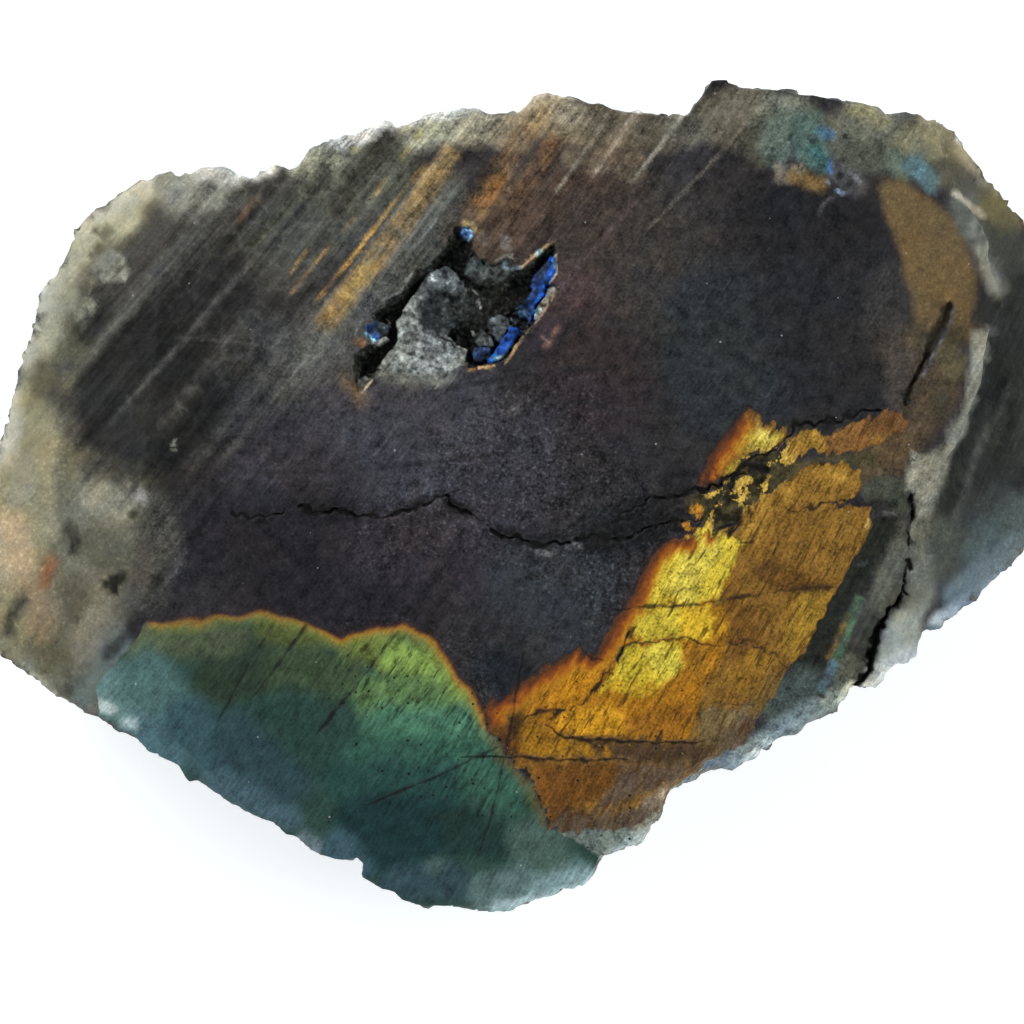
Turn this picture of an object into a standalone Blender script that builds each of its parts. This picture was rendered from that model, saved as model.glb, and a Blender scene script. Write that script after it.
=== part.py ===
"""Rough labradorite chunk: one natural block of feldspar, sawn flat above and below.

The upper face is the show face. Its left end and a shelf at its right end are
broken lower than the saw cut, and a small crystal pit opens into it. The walls
between the two sawn faces are as they broke off the rock: cleavage flats with
hollows between them, leaning in under the rim so the base is the smaller face.

Frame: +X along the length, +Z up, origin under the middle of the block on the
base. Dimensions below are in millimetres and become metres when they are used.
"""

import math
from dataclasses import dataclass

import bmesh
import bpy
from mathutils import Matrix, Vector, noise

MM = 0.001

# Driving dimensions, in millimetres
HEIGHT = 18.0  # between the two sawn faces
POINT_SPACING = 1.45  # longest step between two points of the rim
RIM_RAGGEDNESS = 0.24  # how far the points between the rim's corners can wander
WALL_LEVELS = (1.1, 2.6, 4.4, 6.4, 8.6, 10.8, 12.8, 14.4, 15.6, 16.6, 17.3)
UNDERCUT_LEAST = 0.025  # share of its distance to the axis that the wall leans in by
UNDERCUT_MOST = 0.085
UNDERCUT_ONSET = 1.9  # exponent: the wall drops nearly plumb at first
UNDERCUT_WAVES = ((2, 1.0, 0.6), (3, 0.7, 2.1), (5, 0.5, 0.0))  # turns, share, start in radians
HOLLOW_DEPTH, HOLLOW_WIDTH = 3.4, 12.0  # hollows and swellings of the broken wall
CHIP_DEPTH, CHIP_WIDTH = 0.7, 3.2  # small chips on them
WALL_ONSET = 2.5  # the wall is fully broken this many times sooner than its whole height
WALL_RISE = 0.2  # share of a hollow's push that also goes up or down
PIT_DEPTH = 3.4
PIT_FLOOR_SCALE = 0.72  # how much smaller the pit's floor is than its mouth
PIT_ROUGHNESS, PIT_GRAIN = 0.5, 2.2
SHELF_DROP, SHELF_TILT_DEG = 2.2, 13.0  # step behind the shelf's edge, and its fall to the right
SHELF_ROUGHNESS, SHELF_GRAIN = 0.45, 6.5
SHELF_SPACING = 2.9  # longest step between two points of the shelf's edge
SHELF_REACH = 62.0  # +X end of what is missing over the shelf, clear of the block's right end
CLEARANCE = 6.0  # how far a cutter reaches past the block
ENVELOPE_REACH = 90.0  # half the side of the box that the fractures are cut from
ELSEWHERE = Vector((0.3, 0.1, 0.2))  # metres, so that chips and hollows don't line up
NOISE_SEED = 7  # fixes the hollows and chips, which would otherwise change on each run
WELD = 0.004  # points closer than this are one point

# The rim of the block seen from above, clockwise from the tip of its left end.
LEFT_END = [
    (-56.0, -5.5), (-55.5, -1.0), (-54.8, 3.5), (-53.8, 7.5), (-52.6, 11.0), (-51.6, 13.7),
    (-50.4, 15.5), (-49.6, 19.5), (-49.1, 21.0), (-48.3, 21.7), (-47.2, 24.1), (-46.9, 26.0),
    (-46.4, 28.2), (-45.8, 29.0), (-44.1, 29.5), (-42.6, 30.9), (-41.4, 31.0), (-40.5, 31.5),
]
FAR_SIDE_LEFT = [
    (-37.4, 31.9), (-36.2, 32.4), (-35.3, 31.9), (-34.6, 32.5), (-33.6, 32.3), (-32.1, 33.2),
    (-29.0, 32.4), (-27.6, 31.7), (-26.8, 32.5), (-25.8, 32.5), (-25.0, 33.1), (-23.7, 32.5),
    (-22.9, 32.8), (-21.4, 34.5), (-20.4, 35.0), (-18.6, 35.4), (-17.9, 36.1), (-17.0, 36.1),
    (-16.0, 37.0), (-14.4, 37.5), (-13.5, 37.5), (-13.1, 36.8), (-12.5, 36.7), (-11.6, 37.2),
    (-10.6, 38.3), (-10.0, 38.6), (-7.4, 38.8), (-5.8, 39.3), (-4.7, 39.2), (-4.1, 38.9),
]
FAR_SIDE_RIGHT = [
    (-1.3, 38.5), (-0.3, 39.3), (0.4, 40.2), (1.5, 40.3), (5.4, 39.4), (7.6, 39.1),
    (8.6, 38.6), (11.4, 38.2), (15.6, 38.1), (16.5, 38.7), (17.4, 39.7), (18.6, 41.5),
    (19.9, 41.6), (21.5, 40.8), (24.2, 40.5), (28.9, 40.0), (32.2, 39.3), (33.8, 39.2),
    (35.4, 38.5), (39.2, 38.1), (40.4, 37.2), (41.0, 37.7), (42.2, 37.2), (43.0, 36.7),
]
RIGHT_END = [
    (44.2, 35.2), (46.8, 32.0), (47.6, 31.6), (49.8, 28.9), (51.4, 27.1), (53.2, 24.5),
    (54.6, 21.0), (55.5, 17.0), (56.0, 12.5), (55.9, 7.5), (55.1, 3.0), (53.8, -1.3),
    (52.0, -5.0), (49.8, -7.5), (47.3, -9.3), (46.4, -10.6), (43.7, -12.2), (42.0, -13.7),
]
NEAR_SIDE_RIGHT = [
    (41.0, -13.9), (39.9, -13.6), (39.6, -14.7), (39.1, -16.3), (37.4, -16.8), (36.7, -17.5),
    (36.3, -18.4), (35.4, -19.3), (33.1, -18.9), (32.2, -20.4), (31.2, -21.4), (29.4, -22.5),
    (28.0, -23.1), (27.2, -23.7), (25.1, -24.3), (23.1, -26.3), (21.1, -27.5), (19.4, -27.7),
    (17.7, -28.8), (15.6, -29.2), (14.7, -29.7), (14.1, -30.7), (13.3, -32.0), (12.4, -34.1),
    (11.5, -35.7), (10.4, -36.2), (8.6, -36.4), (7.7, -37.0), (7.1, -37.9), (6.0, -39.1),
]
NEAR_SIDE_LEFT = [
    (3.4, -39.7), (0.8, -40.5), (-0.4, -41.2), (-2.1, -41.7), (-4.6, -41.8), (-7.1, -41.4),
    (-10.2, -41.2), (-12.3, -40.6), (-13.3, -39.6), (-14.4, -39.4), (-16.4, -38.2),
    (-16.3, -36.9), (-16.8, -36.3), (-18.2, -36.5), (-20.3, -36.1), (-21.4, -35.6),
    (-23.1, -34.1), (-24.1, -33.9), (-24.8, -33.1), (-28.0, -31.7), (-30.6, -29.8),
    (-33.6, -28.5), (-36.6, -26.4), (-37.6, -25.8), (-38.8, -25.5), (-39.7, -24.7),
    (-42.1, -24.0), (-42.6, -23.3), (-44.6, -22.5), (-46.0, -21.3), (-47.6, -20.3),
    (-49.3, -19.9), (-51.0, -18.5), (-52.6, -17.7), (-54.2, -16.5), (-55.3, -13.5),
    (-55.8, -10.0),
]

# The mouth of the crystal pit, clockwise from its left corner.
PIT_MOUTH = [
    (-15.4, 18.1), (-13.0, 19.6), (-11.4, 22.2), (-10.2, 22.6), (-8.0, 25.2), (-7.1, 27.7),
    (-6.4, 25.7), (-5.4, 25.2), (-5.7, 23.5), (-1.6, 22.5), (-0.3, 22.5), (2.8, 25.2),
    (3.1, 22.3), (2.2, 20.7), (1.6, 18.5), (-2.0, 13.4), (-4.3, 12.8), (-7.1, 12.5),
    (-8.8, 11.4), (-12.1, 11.8), (-14.6, 12.2), (-16.6, 10.7), (-17.2, 11.5), (-15.0, 14.3),
    (-13.0, 15.2), (-13.0, 17.3),
]

# The edge where the sawn face breaks off to the shelf, from the far side to the near side.
SHELF_HINGE = (44.6, 9.2)  # the step is measured at this point of the edge
SHELF_EDGE = [
    (40.6, 41.0), (41.2, 36.0), (42.4, 32.0), (44.1, 29.0), (45.9, 26.0), (46.7, 21.8),
    (47.7, 19.5), (46.4, 16.5), (45.9, 14.5), (45.5, 11.1), (44.6, 9.2), (42.9, 4.8),
    (40.4, 1.2), (38.4, -1.0), (38.6, -3.0), (38.2, -6.5), (37.4, -9.8), (35.9, -12.3),
    (35.0, -15.3), (33.4, -18.6), (32.6, -22.0),
]


@dataclass(frozen=True)
class Break:
    """A flat fracture along the line from start to end, seen from above.

    It crosses that line drop millimetres under the sawn face. Its pitch is
    measured from level: under 90 degrees it bevels the rim, and over 90 it
    trims the wall below the rim.
    """

    start: tuple[float, float]
    end: tuple[float, float]
    drop: float
    pitch: float


BREAKS = (
    # The worn left end and its two corners fall away from the sawn face.
    Break((-56.0, -14.0), (-53.2, 14.0), 5.6, 19.0),
    Break((-52.0, 12.0), (-41.0, 32.5), 3.6, 24.0),
    Break((-57.0, -12.0), (-47.0, -21.5), 3.2, 27.0),
    # Cleavage flats, on the stretches of wall that stand furthest out.
    Break((-54.2, -16.7), (-16.4, -38.5), 2.6, 97.0),
    Break((-16.4, -38.8), (-4.6, -42.3), 2.6, 106.0),
    Break((6.0, -39.6), (35.4, -19.8), 3.2, 104.0),
    Break((35.4, -19.9), (52.4, -5.4), 4.0, 99.0),
    Break((52.4, -5.4), (56.4, 9.0), 8.0, 104.0),
    Break((56.4, 11.0), (53.6, 25.0), 8.0, 98.0),
    Break((53.6, 24.8), (43.2, 37.2), 6.0, 103.0),
    Break((43.2, 37.3), (19.9, 42.1), 3.0, 96.0),
    Break((18.6, 42.0), (-36.2, 33.4), 3.4, 105.0),
    Break((-36.2, 33.2), (-45.8, 29.6), 5.0, 98.0),
    Break((-46.6, 29.0), (-56.2, -3.0), 7.0, 101.0),
)


@dataclass(frozen=True)
class Spall:
    """A stretch of rim that has chipped away: where it is, how far it runs and how wide it is."""

    middle: tuple[float, float]
    reach: float
    width: float


SPALLS = (
    Spall((-29.0, 32.8), 6.0, 1.2),
    Spall((-17.0, 36.3), 4.0, 0.8),
    Spall((-5.0, 39.2), 7.0, 1.5),
    Spall((16.5, 38.8), 2.2, 0.9),
    Spall((38.0, 38.5), 6.0, 1.0),
    Spall((0.0, -41.3), 6.5, 1.1),
    Spall((9.8, -36.3), 3.4, 1.5),
    Spall((18.5, -28.5), 5.2, 2.1),
    Spall((27.5, -23.5), 4.0, 1.2),
    Spall((34.5, -19.0), 4.5, 1.3),
)
SPALL_STEEPNESS = 1.15  # depth of a spall over its width

STONE_COLOUR = (0.035, 0.032, 0.036, 1.0)
STONE_ROUGHNESS = 0.55
STONE_METALLIC = 0.0


def clear_scene():
    for obj in list(bpy.data.objects):
        bpy.data.objects.remove(obj, do_unlink=True)


def new_collection(name):
    collection = bpy.data.collections.new(name)
    bpy.context.scene.collection.children.link(collection)
    return collection


def stone_material():
    material = bpy.data.materials.new("labradorite")
    material.use_nodes = True
    shader = material.node_tree.nodes["Principled BSDF"]
    shader.inputs["Base Color"].default_value = STONE_COLOUR
    shader.inputs["Roughness"].default_value = STONE_ROUGHNESS
    shader.inputs["Metallic"].default_value = STONE_METALLIC
    return material


def refined(outline, spacing, raggedness):
    """The outline with its long sides divided, and the new points moved off the straight line."""
    points = []
    for first, last in zip(outline, outline[1:] + outline[:1]):
        start, end = Vector(first), Vector(last)
        parts = max(1, math.ceil((end - start).length / spacing))
        for step in range(parts):
            point = start.lerp(end, step / parts)
            if step:
                wander = noise.noise_vector(Vector((point.x, point.y, HEIGHT)))
                point += wander.xy * raggedness
            points.append(point)
    return points


def prism(name, outline, bottom, top, collection):
    """A flat outline in millimetres, filled and extruded from one height to another."""
    curve = bpy.data.curves.new(name, "CURVE")
    curve.dimensions = "2D"
    curve.fill_mode = "BOTH"
    curve.extrude = (top - bottom) / 2 * MM
    spline = curve.splines.new("POLY")
    spline.points.add(len(outline) - 1)
    for knot, (x, y) in zip(spline.points, outline):
        knot.co = (x * MM, y * MM, 0.0, 1.0)
    spline.use_cyclic_u = True
    flat = bpy.data.objects.new(name + "_outline", curve)
    flat.location.z = (top + bottom) / 2 * MM
    collection.objects.link(flat)
    bpy.context.view_layer.update()

    graph = bpy.context.evaluated_depsgraph_get()
    mesh = bpy.data.meshes.new_from_object(flat.evaluated_get(graph))
    solid = bpy.data.objects.new(name, mesh)
    solid.matrix_world = flat.matrix_world.copy()
    collection.objects.link(solid)
    bpy.data.objects.remove(flat, do_unlink=True)

    mesh.transform(solid.matrix_world)
    solid.matrix_world = Matrix.Identity(4)
    shape = bmesh.new()
    shape.from_mesh(mesh)
    bmesh.ops.remove_doubles(shape, verts=shape.verts[:], dist=WELD * MM)
    write_back(shape, solid)
    return solid


def write_back(shape, solid):
    """Puts an edited shape back into its object, with its faces turned outwards."""
    bmesh.ops.recalc_face_normals(shape, faces=shape.faces[:])
    shape.to_mesh(solid.data)
    shape.free()
    solid.data.update()


def everything(shape):
    return shape.verts[:] + shape.edges[:] + shape.faces[:]


def open_for_shaping(solid, levels):
    """A prism ready for its wall to be moved: each end one face, and rings of edges between."""
    shape = bmesh.new()
    shape.from_mesh(solid.data)
    for way in (1, -1):
        cap = [face for face in shape.faces if face.normal.z * way > math.cos(math.pi / 4)]
        bmesh.ops.dissolve_faces(shape, faces=cap)
    for level in levels:
        bmesh.ops.bisect_plane(
            shape, geom=everything(shape), plane_co=(0, 0, level * MM), plane_no=(0, 0, 1)
        )
    return shape


def undercut_at(angle):
    """How far the wall leans in at this bearing, from three slow waves round the block."""
    waves = sum(share * math.sin(turns * angle + start) for turns, share, start in UNDERCUT_WAVES)
    highest = sum(share for _, share, _ in UNDERCUT_WAVES)
    middle = (UNDERCUT_LEAST + UNDERCUT_MOST) / 2
    return middle + (UNDERCUT_MOST - UNDERCUT_LEAST) / 2 * waves / highest


def spall_at(place):
    """How far the sawn face has chipped back at this point of the rim."""
    return sum(
        spall.width * math.exp(-((place - Vector(spall.middle)).length / spall.reach) ** 2)
        for spall in SPALLS
    )


def roughened(point, depth, width):
    """A smooth push in all directions, with hollows about this wide."""
    return noise.noise_vector(point / (width * MM)) * depth * MM


def shape_wall(shape):
    """Leans the wall in towards the base, breaks it into hollows and chips, and spalls the rim.

    Both sawn faces stay at their heights.
    """
    for corner in shape.verts:
        point = corner.co.copy()
        below = HEIGHT - point.z / MM
        depth = below / HEIGHT
        lean = undercut_at(math.atan2(point.y, point.x)) * depth**UNDERCUT_ONSET
        chipped = spall_at(point.xy / MM)
        bevel = max(0.0, chipped - below / SPALL_STEEPNESS) / (point.xy.length / MM)
        onset = min(1.0, WALL_ONSET * depth)
        push = roughened(point, HOLLOW_DEPTH, HOLLOW_WIDTH)
        push += roughened(point + ELSEWHERE, CHIP_DEPTH, CHIP_WIDTH)
        corner.co.xy = point.xy * (1 - lean - bevel) + push.xy * onset
        if WELD < below < HEIGHT - WELD:
            corner.co.z += push.z * WALL_RISE * onset


def fracture_plane(fracture):
    """A point on the fracture and its normal, which points off the block."""
    start, end = Vector(fracture.start), Vector(fracture.end)
    along = (end - start).normalized()
    outward = Vector((along.y, -along.x))
    middle = (start + end) / 2
    if outward.dot(middle) < 0:
        outward.negate()
    pitch = math.radians(fracture.pitch)
    normal = Vector((outward.x * math.sin(pitch), outward.y * math.sin(pitch), math.cos(pitch)))
    return Vector((middle.x, middle.y, HEIGHT - fracture.drop)) * MM, normal


def cut_and_close(shape, place, normal):
    """Drops what lies outside a plane and fills the cut."""
    cut = bmesh.ops.bisect_plane(
        shape, geom=everything(shape), plane_co=place, plane_no=normal, clear_outer=True
    )
    edges = [part for part in cut["geom_cut"] if isinstance(part, bmesh.types.BMEdge)]
    bmesh.ops.holes_fill(shape, edges=edges, sides=0)


def make_block(collection):
    """The block between its sawn faces, with its walls as they broke off the rock."""
    rim = LEFT_END + FAR_SIDE_LEFT + FAR_SIDE_RIGHT + RIGHT_END + NEAR_SIDE_RIGHT + NEAR_SIDE_LEFT
    outline = refined(rim, POINT_SPACING, RIM_RAGGEDNESS)
    block = prism("labradorite_chunk", outline, 0.0, HEIGHT, collection)
    shape = open_for_shaping(block, WALL_LEVELS)
    shape_wall(shape)
    bmesh.ops.triangulate(shape, faces=shape.faces[:])
    write_back(shape, block)
    return block


def make_fracture_envelope(collection):
    """All the flat fractures together: a box trimmed by each, which the block keeps within."""
    envelope = bpy.data.objects.new("fracture_envelope", bpy.data.meshes.new("envelope"))
    collection.objects.link(envelope)
    shape = bmesh.new()
    bmesh.ops.create_cube(shape, size=2 * ENVELOPE_REACH * MM)
    for fracture in BREAKS:
        cut_and_close(shape, *fracture_plane(fracture))
    write_back(shape, envelope)
    return envelope


def make_pit_cutter(collection):
    """A plug the shape of the pit: narrower and lumpy at the bottom."""
    outline = refined(PIT_MOUTH, POINT_SPACING, RIM_RAGGEDNESS)
    cutter = prism("pit_cutter", outline, HEIGHT - PIT_DEPTH, HEIGHT + CLEARANCE, collection)
    middle = Vector((sum(x for x, _ in PIT_MOUTH), sum(y for _, y in PIT_MOUTH)))
    middle = middle / len(PIT_MOUTH) * MM
    levels = (HEIGHT - 2 * PIT_DEPTH / 3, HEIGHT - PIT_DEPTH / 3, HEIGHT)
    shape = open_for_shaping(cutter, levels)
    for corner in shape.verts:
        depth = max(0.0, HEIGHT * MM - corner.co.z) / (PIT_DEPTH * MM)
        scale = 1 - (1 - PIT_FLOOR_SCALE) * depth
        corner.co.xy = middle + (corner.co.xy - middle) * scale
        corner.co += roughened(corner.co, PIT_ROUGHNESS, PIT_GRAIN) * depth
    bmesh.ops.triangulate(shape, faces=shape.faces[:])
    write_back(shape, cutter)
    return cutter


def make_shelf_cutter(collection):
    """What is missing over the shelf: a slab whose underside falls to the right."""
    (_, far), (_, near) = SHELF_EDGE[0], SHELF_EDGE[-1]
    outline = SHELF_EDGE + [(SHELF_REACH, near), (SHELF_REACH, far)]
    outline = refined(outline, SHELF_SPACING, RIM_RAGGEDNESS)
    cutter = prism("shelf_cutter", outline, 0.0, HEIGHT + CLEARANCE, collection)
    tilt = math.radians(SHELF_TILT_DEG)
    shape = bmesh.new()
    shape.from_mesh(cutter.data)
    place = Vector((*SHELF_HINGE, HEIGHT - SHELF_DROP)) * MM
    cut_and_close(shape, place, Vector((-math.sin(tilt), 0.0, -math.cos(tilt))))
    bmesh.ops.triangulate(shape, faces=shape.faces[:])
    under = [edge for edge in shape.edges if all(end.co.z < HEIGHT * MM for end in edge.verts)]
    bmesh.ops.subdivide_edges(shape, edges=under, cuts=2, use_grid_fill=True)
    for corner in shape.verts:
        if corner.co.z < (HEIGHT + CLEARANCE / 2) * MM:
            corner.co.z += roughened(corner.co, SHELF_ROUGHNESS, SHELF_GRAIN).z
    bmesh.ops.triangulate(shape, faces=shape.faces[:])
    write_back(shape, cutter)
    return cutter


def cut_with(block, cutter, operation="DIFFERENCE"):
    cutter.hide_render = True
    cutter.display_type = "WIRE"
    cut = block.modifiers.new(cutter.name, "BOOLEAN")
    cut.operation = operation
    cut.solver = "EXACT"
    cut.object = cutter


def main():
    clear_scene()
    noise.seed_set(NOISE_SEED)
    chunk = new_collection("rough_labradorite")
    cutters = new_collection("cutters")
    block = make_block(chunk)
    block.data.materials.append(stone_material())
    cut_with(block, make_fracture_envelope(cutters), "INTERSECT")
    cut_with(block, make_shelf_cutter(cutters))
    cut_with(block, make_pit_cutter(cutters))


main()
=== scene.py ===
"""A rough labradorite chunk: the finish of the stone, and a plain studio to show it in.

The frame is one block of feldspar, sawn above and below. Its shape is copied,
remeshed fine, broken further and cut with its cracks and pit; its pinholes are
only painted. One mineral finish then dresses it, from colours and distances held
on its points.

Sizes are in millimetres, in the frame's own axes: +X along the block, +Z up.
Paths and outlines give the x,y of each of their points in turn.
"""

import logging
import math
from dataclasses import dataclass, field
from enum import Enum
from typing import Any

import bpy
import numpy as np
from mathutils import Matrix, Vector, noise


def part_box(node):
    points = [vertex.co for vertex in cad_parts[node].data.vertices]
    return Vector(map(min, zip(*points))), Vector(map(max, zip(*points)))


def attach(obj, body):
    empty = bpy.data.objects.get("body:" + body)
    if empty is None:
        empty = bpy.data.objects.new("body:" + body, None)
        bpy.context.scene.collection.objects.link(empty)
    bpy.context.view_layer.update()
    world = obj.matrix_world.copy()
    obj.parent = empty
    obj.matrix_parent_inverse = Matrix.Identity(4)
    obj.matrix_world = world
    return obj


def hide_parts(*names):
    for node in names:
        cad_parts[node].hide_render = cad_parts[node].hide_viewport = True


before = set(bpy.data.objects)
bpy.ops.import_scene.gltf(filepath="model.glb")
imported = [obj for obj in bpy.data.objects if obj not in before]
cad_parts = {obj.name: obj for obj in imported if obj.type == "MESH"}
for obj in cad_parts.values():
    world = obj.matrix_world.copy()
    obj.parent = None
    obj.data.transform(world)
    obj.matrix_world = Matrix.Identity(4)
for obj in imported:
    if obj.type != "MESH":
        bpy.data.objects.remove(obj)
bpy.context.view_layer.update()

log = logging.getLogger("labradorite")

MM = 0.001
NODE = "labradorite_chunk"
NOISE_SEED = 5
SHEEN = 0.004  # the share of white light that the satin surface adds to every colour

Rows = np.ndarray  # a row for each place, or one number
Path = tuple[float, ...]
Wave = tuple[float, float, float]  # the width of its lumps, a shift of its own, and its height
Stops = tuple[tuple[float, str, float], ...]  # depth in a flash, colour and strength


def linear(hex_colour: str) -> tuple[float, float, float, float]:
    """An sRGB hex value as the linear colour, with an alpha of one, that Blender works in."""
    return (*(float(v) for v in to_linear(srgb(hex_colour))), 1.0)


def to_linear(values: Rows) -> Rows:
    """The linear light of sRGB values between nought and one."""
    return np.where(values <= 0.04045, values / 12.92, ((values + 0.055) / 1.055) ** 2.4)


def srgb(hex_colour: str) -> Rows:
    """The three sRGB channels, between nought and one, of six hex digits after a hash."""
    return np.array([int(hex_colour[i : i + 2], 16) / 255 for i in (1, 3, 5)])


def add(tree: bpy.types.NodeTree, kind: str, inputs: dict | None = None, **settings: Any) -> Any:
    """Adds a node with its settings, its values and its links.

    Args:
        tree: The node tree that it goes in.
        kind: Blender's name for the node type, without ShaderNode before it.
        inputs: A value or another node's socket for each input, by name or number.
        settings: The node's own properties.

    Returns:
        The new node.
    """
    made = tree.nodes.new("ShaderNode" + kind)
    for name, value in settings.items():
        setattr(made, name, value)
    for key, value in (inputs or {}).items():
        if isinstance(value, bpy.types.NodeSocket):
            tree.links.new(value, made.inputs[key])
        else:
            made.inputs[key].default_value = value
    return made


# Plane geometry on many points at once


def points(path: Path) -> Rows:
    """A path's points, as rows of x and y."""
    return np.array(path, float).reshape(-1, 2)


def stretch(path: Path, first: int, after: int) -> Path:
    """The part of a path from one of its points up to another."""
    return path[2 * first : 2 * after]


def distance_to(places: Rows, path: Path) -> tuple[Rows, Rows]:
    """How far each place is from a path, and how far along the path its nearest point is.

    Args:
        places: Rows of x and y.
        path: The path; one point alone is a spot.

    Returns:
        The distances, and the shares of the path's length from nought to one.
    """
    corners = points(path)
    if len(corners) == 1:
        return np.linalg.norm(places - corners[0], axis=1), np.full(len(places), 0.5)
    lengths = np.linalg.norm(np.diff(corners, axis=0), axis=1)
    passed = np.concatenate([[0.0], np.cumsum(lengths)])
    nearest = np.full(len(places), np.inf)
    share = np.zeros(len(places))
    for start, end, length, before in zip(corners, corners[1:], lengths, passed):
        way = (end - start) / length
        along = np.clip((places - start) @ way, 0.0, length)
        off = np.linalg.norm(places - start - along[:, None] * way, axis=1)
        closer = off < nearest
        nearest = np.where(closer, off, nearest)
        share = np.where(closer, (before + along) / passed[-1], share)
    return nearest, share


def depth_inside(places: Rows, outline: Path) -> Rows:
    """How far inside a closed outline each place is.

    Args:
        places: Rows of x and y.
        outline: The outline, without its first point again at its end.

    Returns:
        The distances to the outline, negative outside it.
    """
    edge, _ = distance_to(places, outline + outline[:2])
    inside = np.zeros(len(places), bool)
    x, y = places.T
    corners = points(outline)
    for (x0, y0), (x1, y1) in zip(corners, np.roll(corners, -1, axis=0)):
        if y0 == y1:
            continue
        crosses = (y0 > y) != (y1 > y)
        inside ^= crosses & (x < (x1 - x0) * (y - y0) / (y1 - y0) + x0)
    return np.where(inside, edge, -edge)


def eased(values: Rows, low: float, high: float) -> Rows:
    """A smooth step from nought at low to one at high."""
    share = np.clip((values - low) / (high - low), 0.0, 1.0)
    return share * share * (3 - 2 * share)


def ripple(places: Rows, width: float, shift: float = 0.0) -> Rows:
    """Smooth noise between about minus one and one, with lumps this many millimetres wide."""
    scaled = places / width + shift
    return np.array([noise.noise(Vector(place)) for place in scaled]) * 1.6


def ripples(places: Rows, middle: float, *waves: Wave) -> Rows:
    """Smooth noises of several widths, added up.

    Args:
        places: Rows of x, y and z.
        middle: What they swing about.
        waves: The width, shift and height of each.

    Returns:
        The sum at each place.
    """
    total = np.full(len(places), middle, float)
    for width, shift, height in waves:
        total += ripple(places, width, shift) * height
    return total


def drift(places: Rows, width: float, shift_x: float, shift_y: float) -> Rows:
    """Two smooth noises side by side, which carry each place a little way in plan."""
    return np.stack([ripple(places, width, shift_x), ripple(places, width, shift_y)], 1)


def broken_flats(places: Rows, width: float) -> tuple[Rows, Rows]:
    """Breaks space into cells, each with a tilted flat and a shade of its own, which the finish paints as
    light and shade on the cell's face.

    Args:
        places: Rows of x, y and z.
        width: The width of the cells.

    Returns:
        The height of each place on its cell's flat, and its cell's shade, from minus one to one.
    """
    tilt = np.zeros(len(places))
    shade = np.zeros(len(places))
    for index, place in enumerate(places / width):
        _, cells = noise.voronoi(Vector(place))
        way = noise.cell_vector(cells[0] * 3.7)
        tilt[index] = (Vector(place) - cells[0]).dot(way - Vector((0.5, 0.5, 0.5))) * 1.6
        shade[index] = way.x * 2 - 1
    return np.clip(tilt, -1, 1), shade


def mixed(colours: Rows, tone: str | Rows, share: Rows) -> Rows:
    """Rows of colour, each moved this share of the way to a tone."""
    over = srgb(tone) if isinstance(tone, str) else tone
    return colours + (over - colours) * share[:, None]


# What the stone shows, laid out in plan


@dataclass(frozen=True)
class Dab:
    """A soft touch of colour along a path.

    The colour is full within reach of the path, and gone at reach plus fade. With a taper
    it also thins out towards both ends, over that share of its length.
    """

    colour: str
    path: Path
    reach: float
    fade: float
    strength: float = 1.0
    taper: float = 0.0

    def margin(self) -> float:
        """How far from its path the touch still shows."""
        return self.reach + self.fade

    def near(self, places: Rows, far: float) -> Rows:
        """Which places are within this far of the touch."""
        return distance_to(places, self.path)[0] < self.margin() + far

    def cover(self, places: Rows) -> Rows:
        """How much of each place the touch covers.

        Args:
            places: Rows of x and y.

        Returns:
            The shares, from nought to one.
        """
        off, share = distance_to(places, self.path)
        cover = (1 - eased(off, self.reach, self.margin())) * self.strength
        if self.taper:
            cover *= eased(np.minimum(share, 1 - share), 0.0, self.taper)
        return cover


@dataclass(frozen=True)
class Patch:
    """An area of colour inside an outline: half there on it, and full this deep inside."""

    colour: str
    path: Path
    soft: float = 0.4
    strength: float = 1.0

    def margin(self) -> float:
        """How far outside its outline the touch still shows."""
        return self.soft

    def near(self, places: Rows, far: float) -> Rows:
        """Which places are within this far of the outline."""
        return np.abs(depth_inside(places, self.path)) < self.margin() + far

    def cover(self, places: Rows) -> Rows:
        """How much of each place the touch covers, from nought to one."""
        return eased(depth_inside(places, self.path), -self.soft, self.soft) * self.strength


@dataclass(frozen=True)
class Facet(Patch):
    """A crystal face in the pit, this far below the sawn face."""

    depth: float = 0.5


Touches = tuple[Dab | Patch, ...]


@dataclass(frozen=True)
class Crack:
    """A crack or slit in the sawn face: its path, its widest half width and its depth."""

    path: Path
    half_width: float
    depth: float
    ragged: float = 0.25
    dark: float = 1.0


class Fan:
    """The lamellae: flat twin planes that fan out very slightly from a far point."""

    TURN_DEG = 56.5
    FAR = 350.0
    LEAN = 0.22  # how far a lamella moves across for each millimetre of depth

    @classmethod
    def way(cls) -> Rows:
        """The direction of the lamellae in plan."""
        turn = math.radians(cls.TURN_DEG)
        return np.array([math.cos(turn), math.sin(turn)])

    @classmethod
    def coordinates(cls, places: Rows, top: float) -> tuple[Rows, Rows]:
        """Where each place is across the lamellae and along them.

        Args:
            places: Rows of x, y and z.
            top: The height of the sawn face.

        Returns:
            The distances across the lamellae, and those along them.
        """
        to_pivot = cls.way() * cls.FAR - places[:, :2]
        bearing = np.arctan2(to_pivot[:, 1], to_pivot[:, 0]) - math.radians(cls.TURN_DEG)
        across = cls.FAR * bearing + (top - places[:, 2]) * cls.LEAN
        return across, cls.FAR - np.linalg.norm(to_pivot, axis=1)


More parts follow.
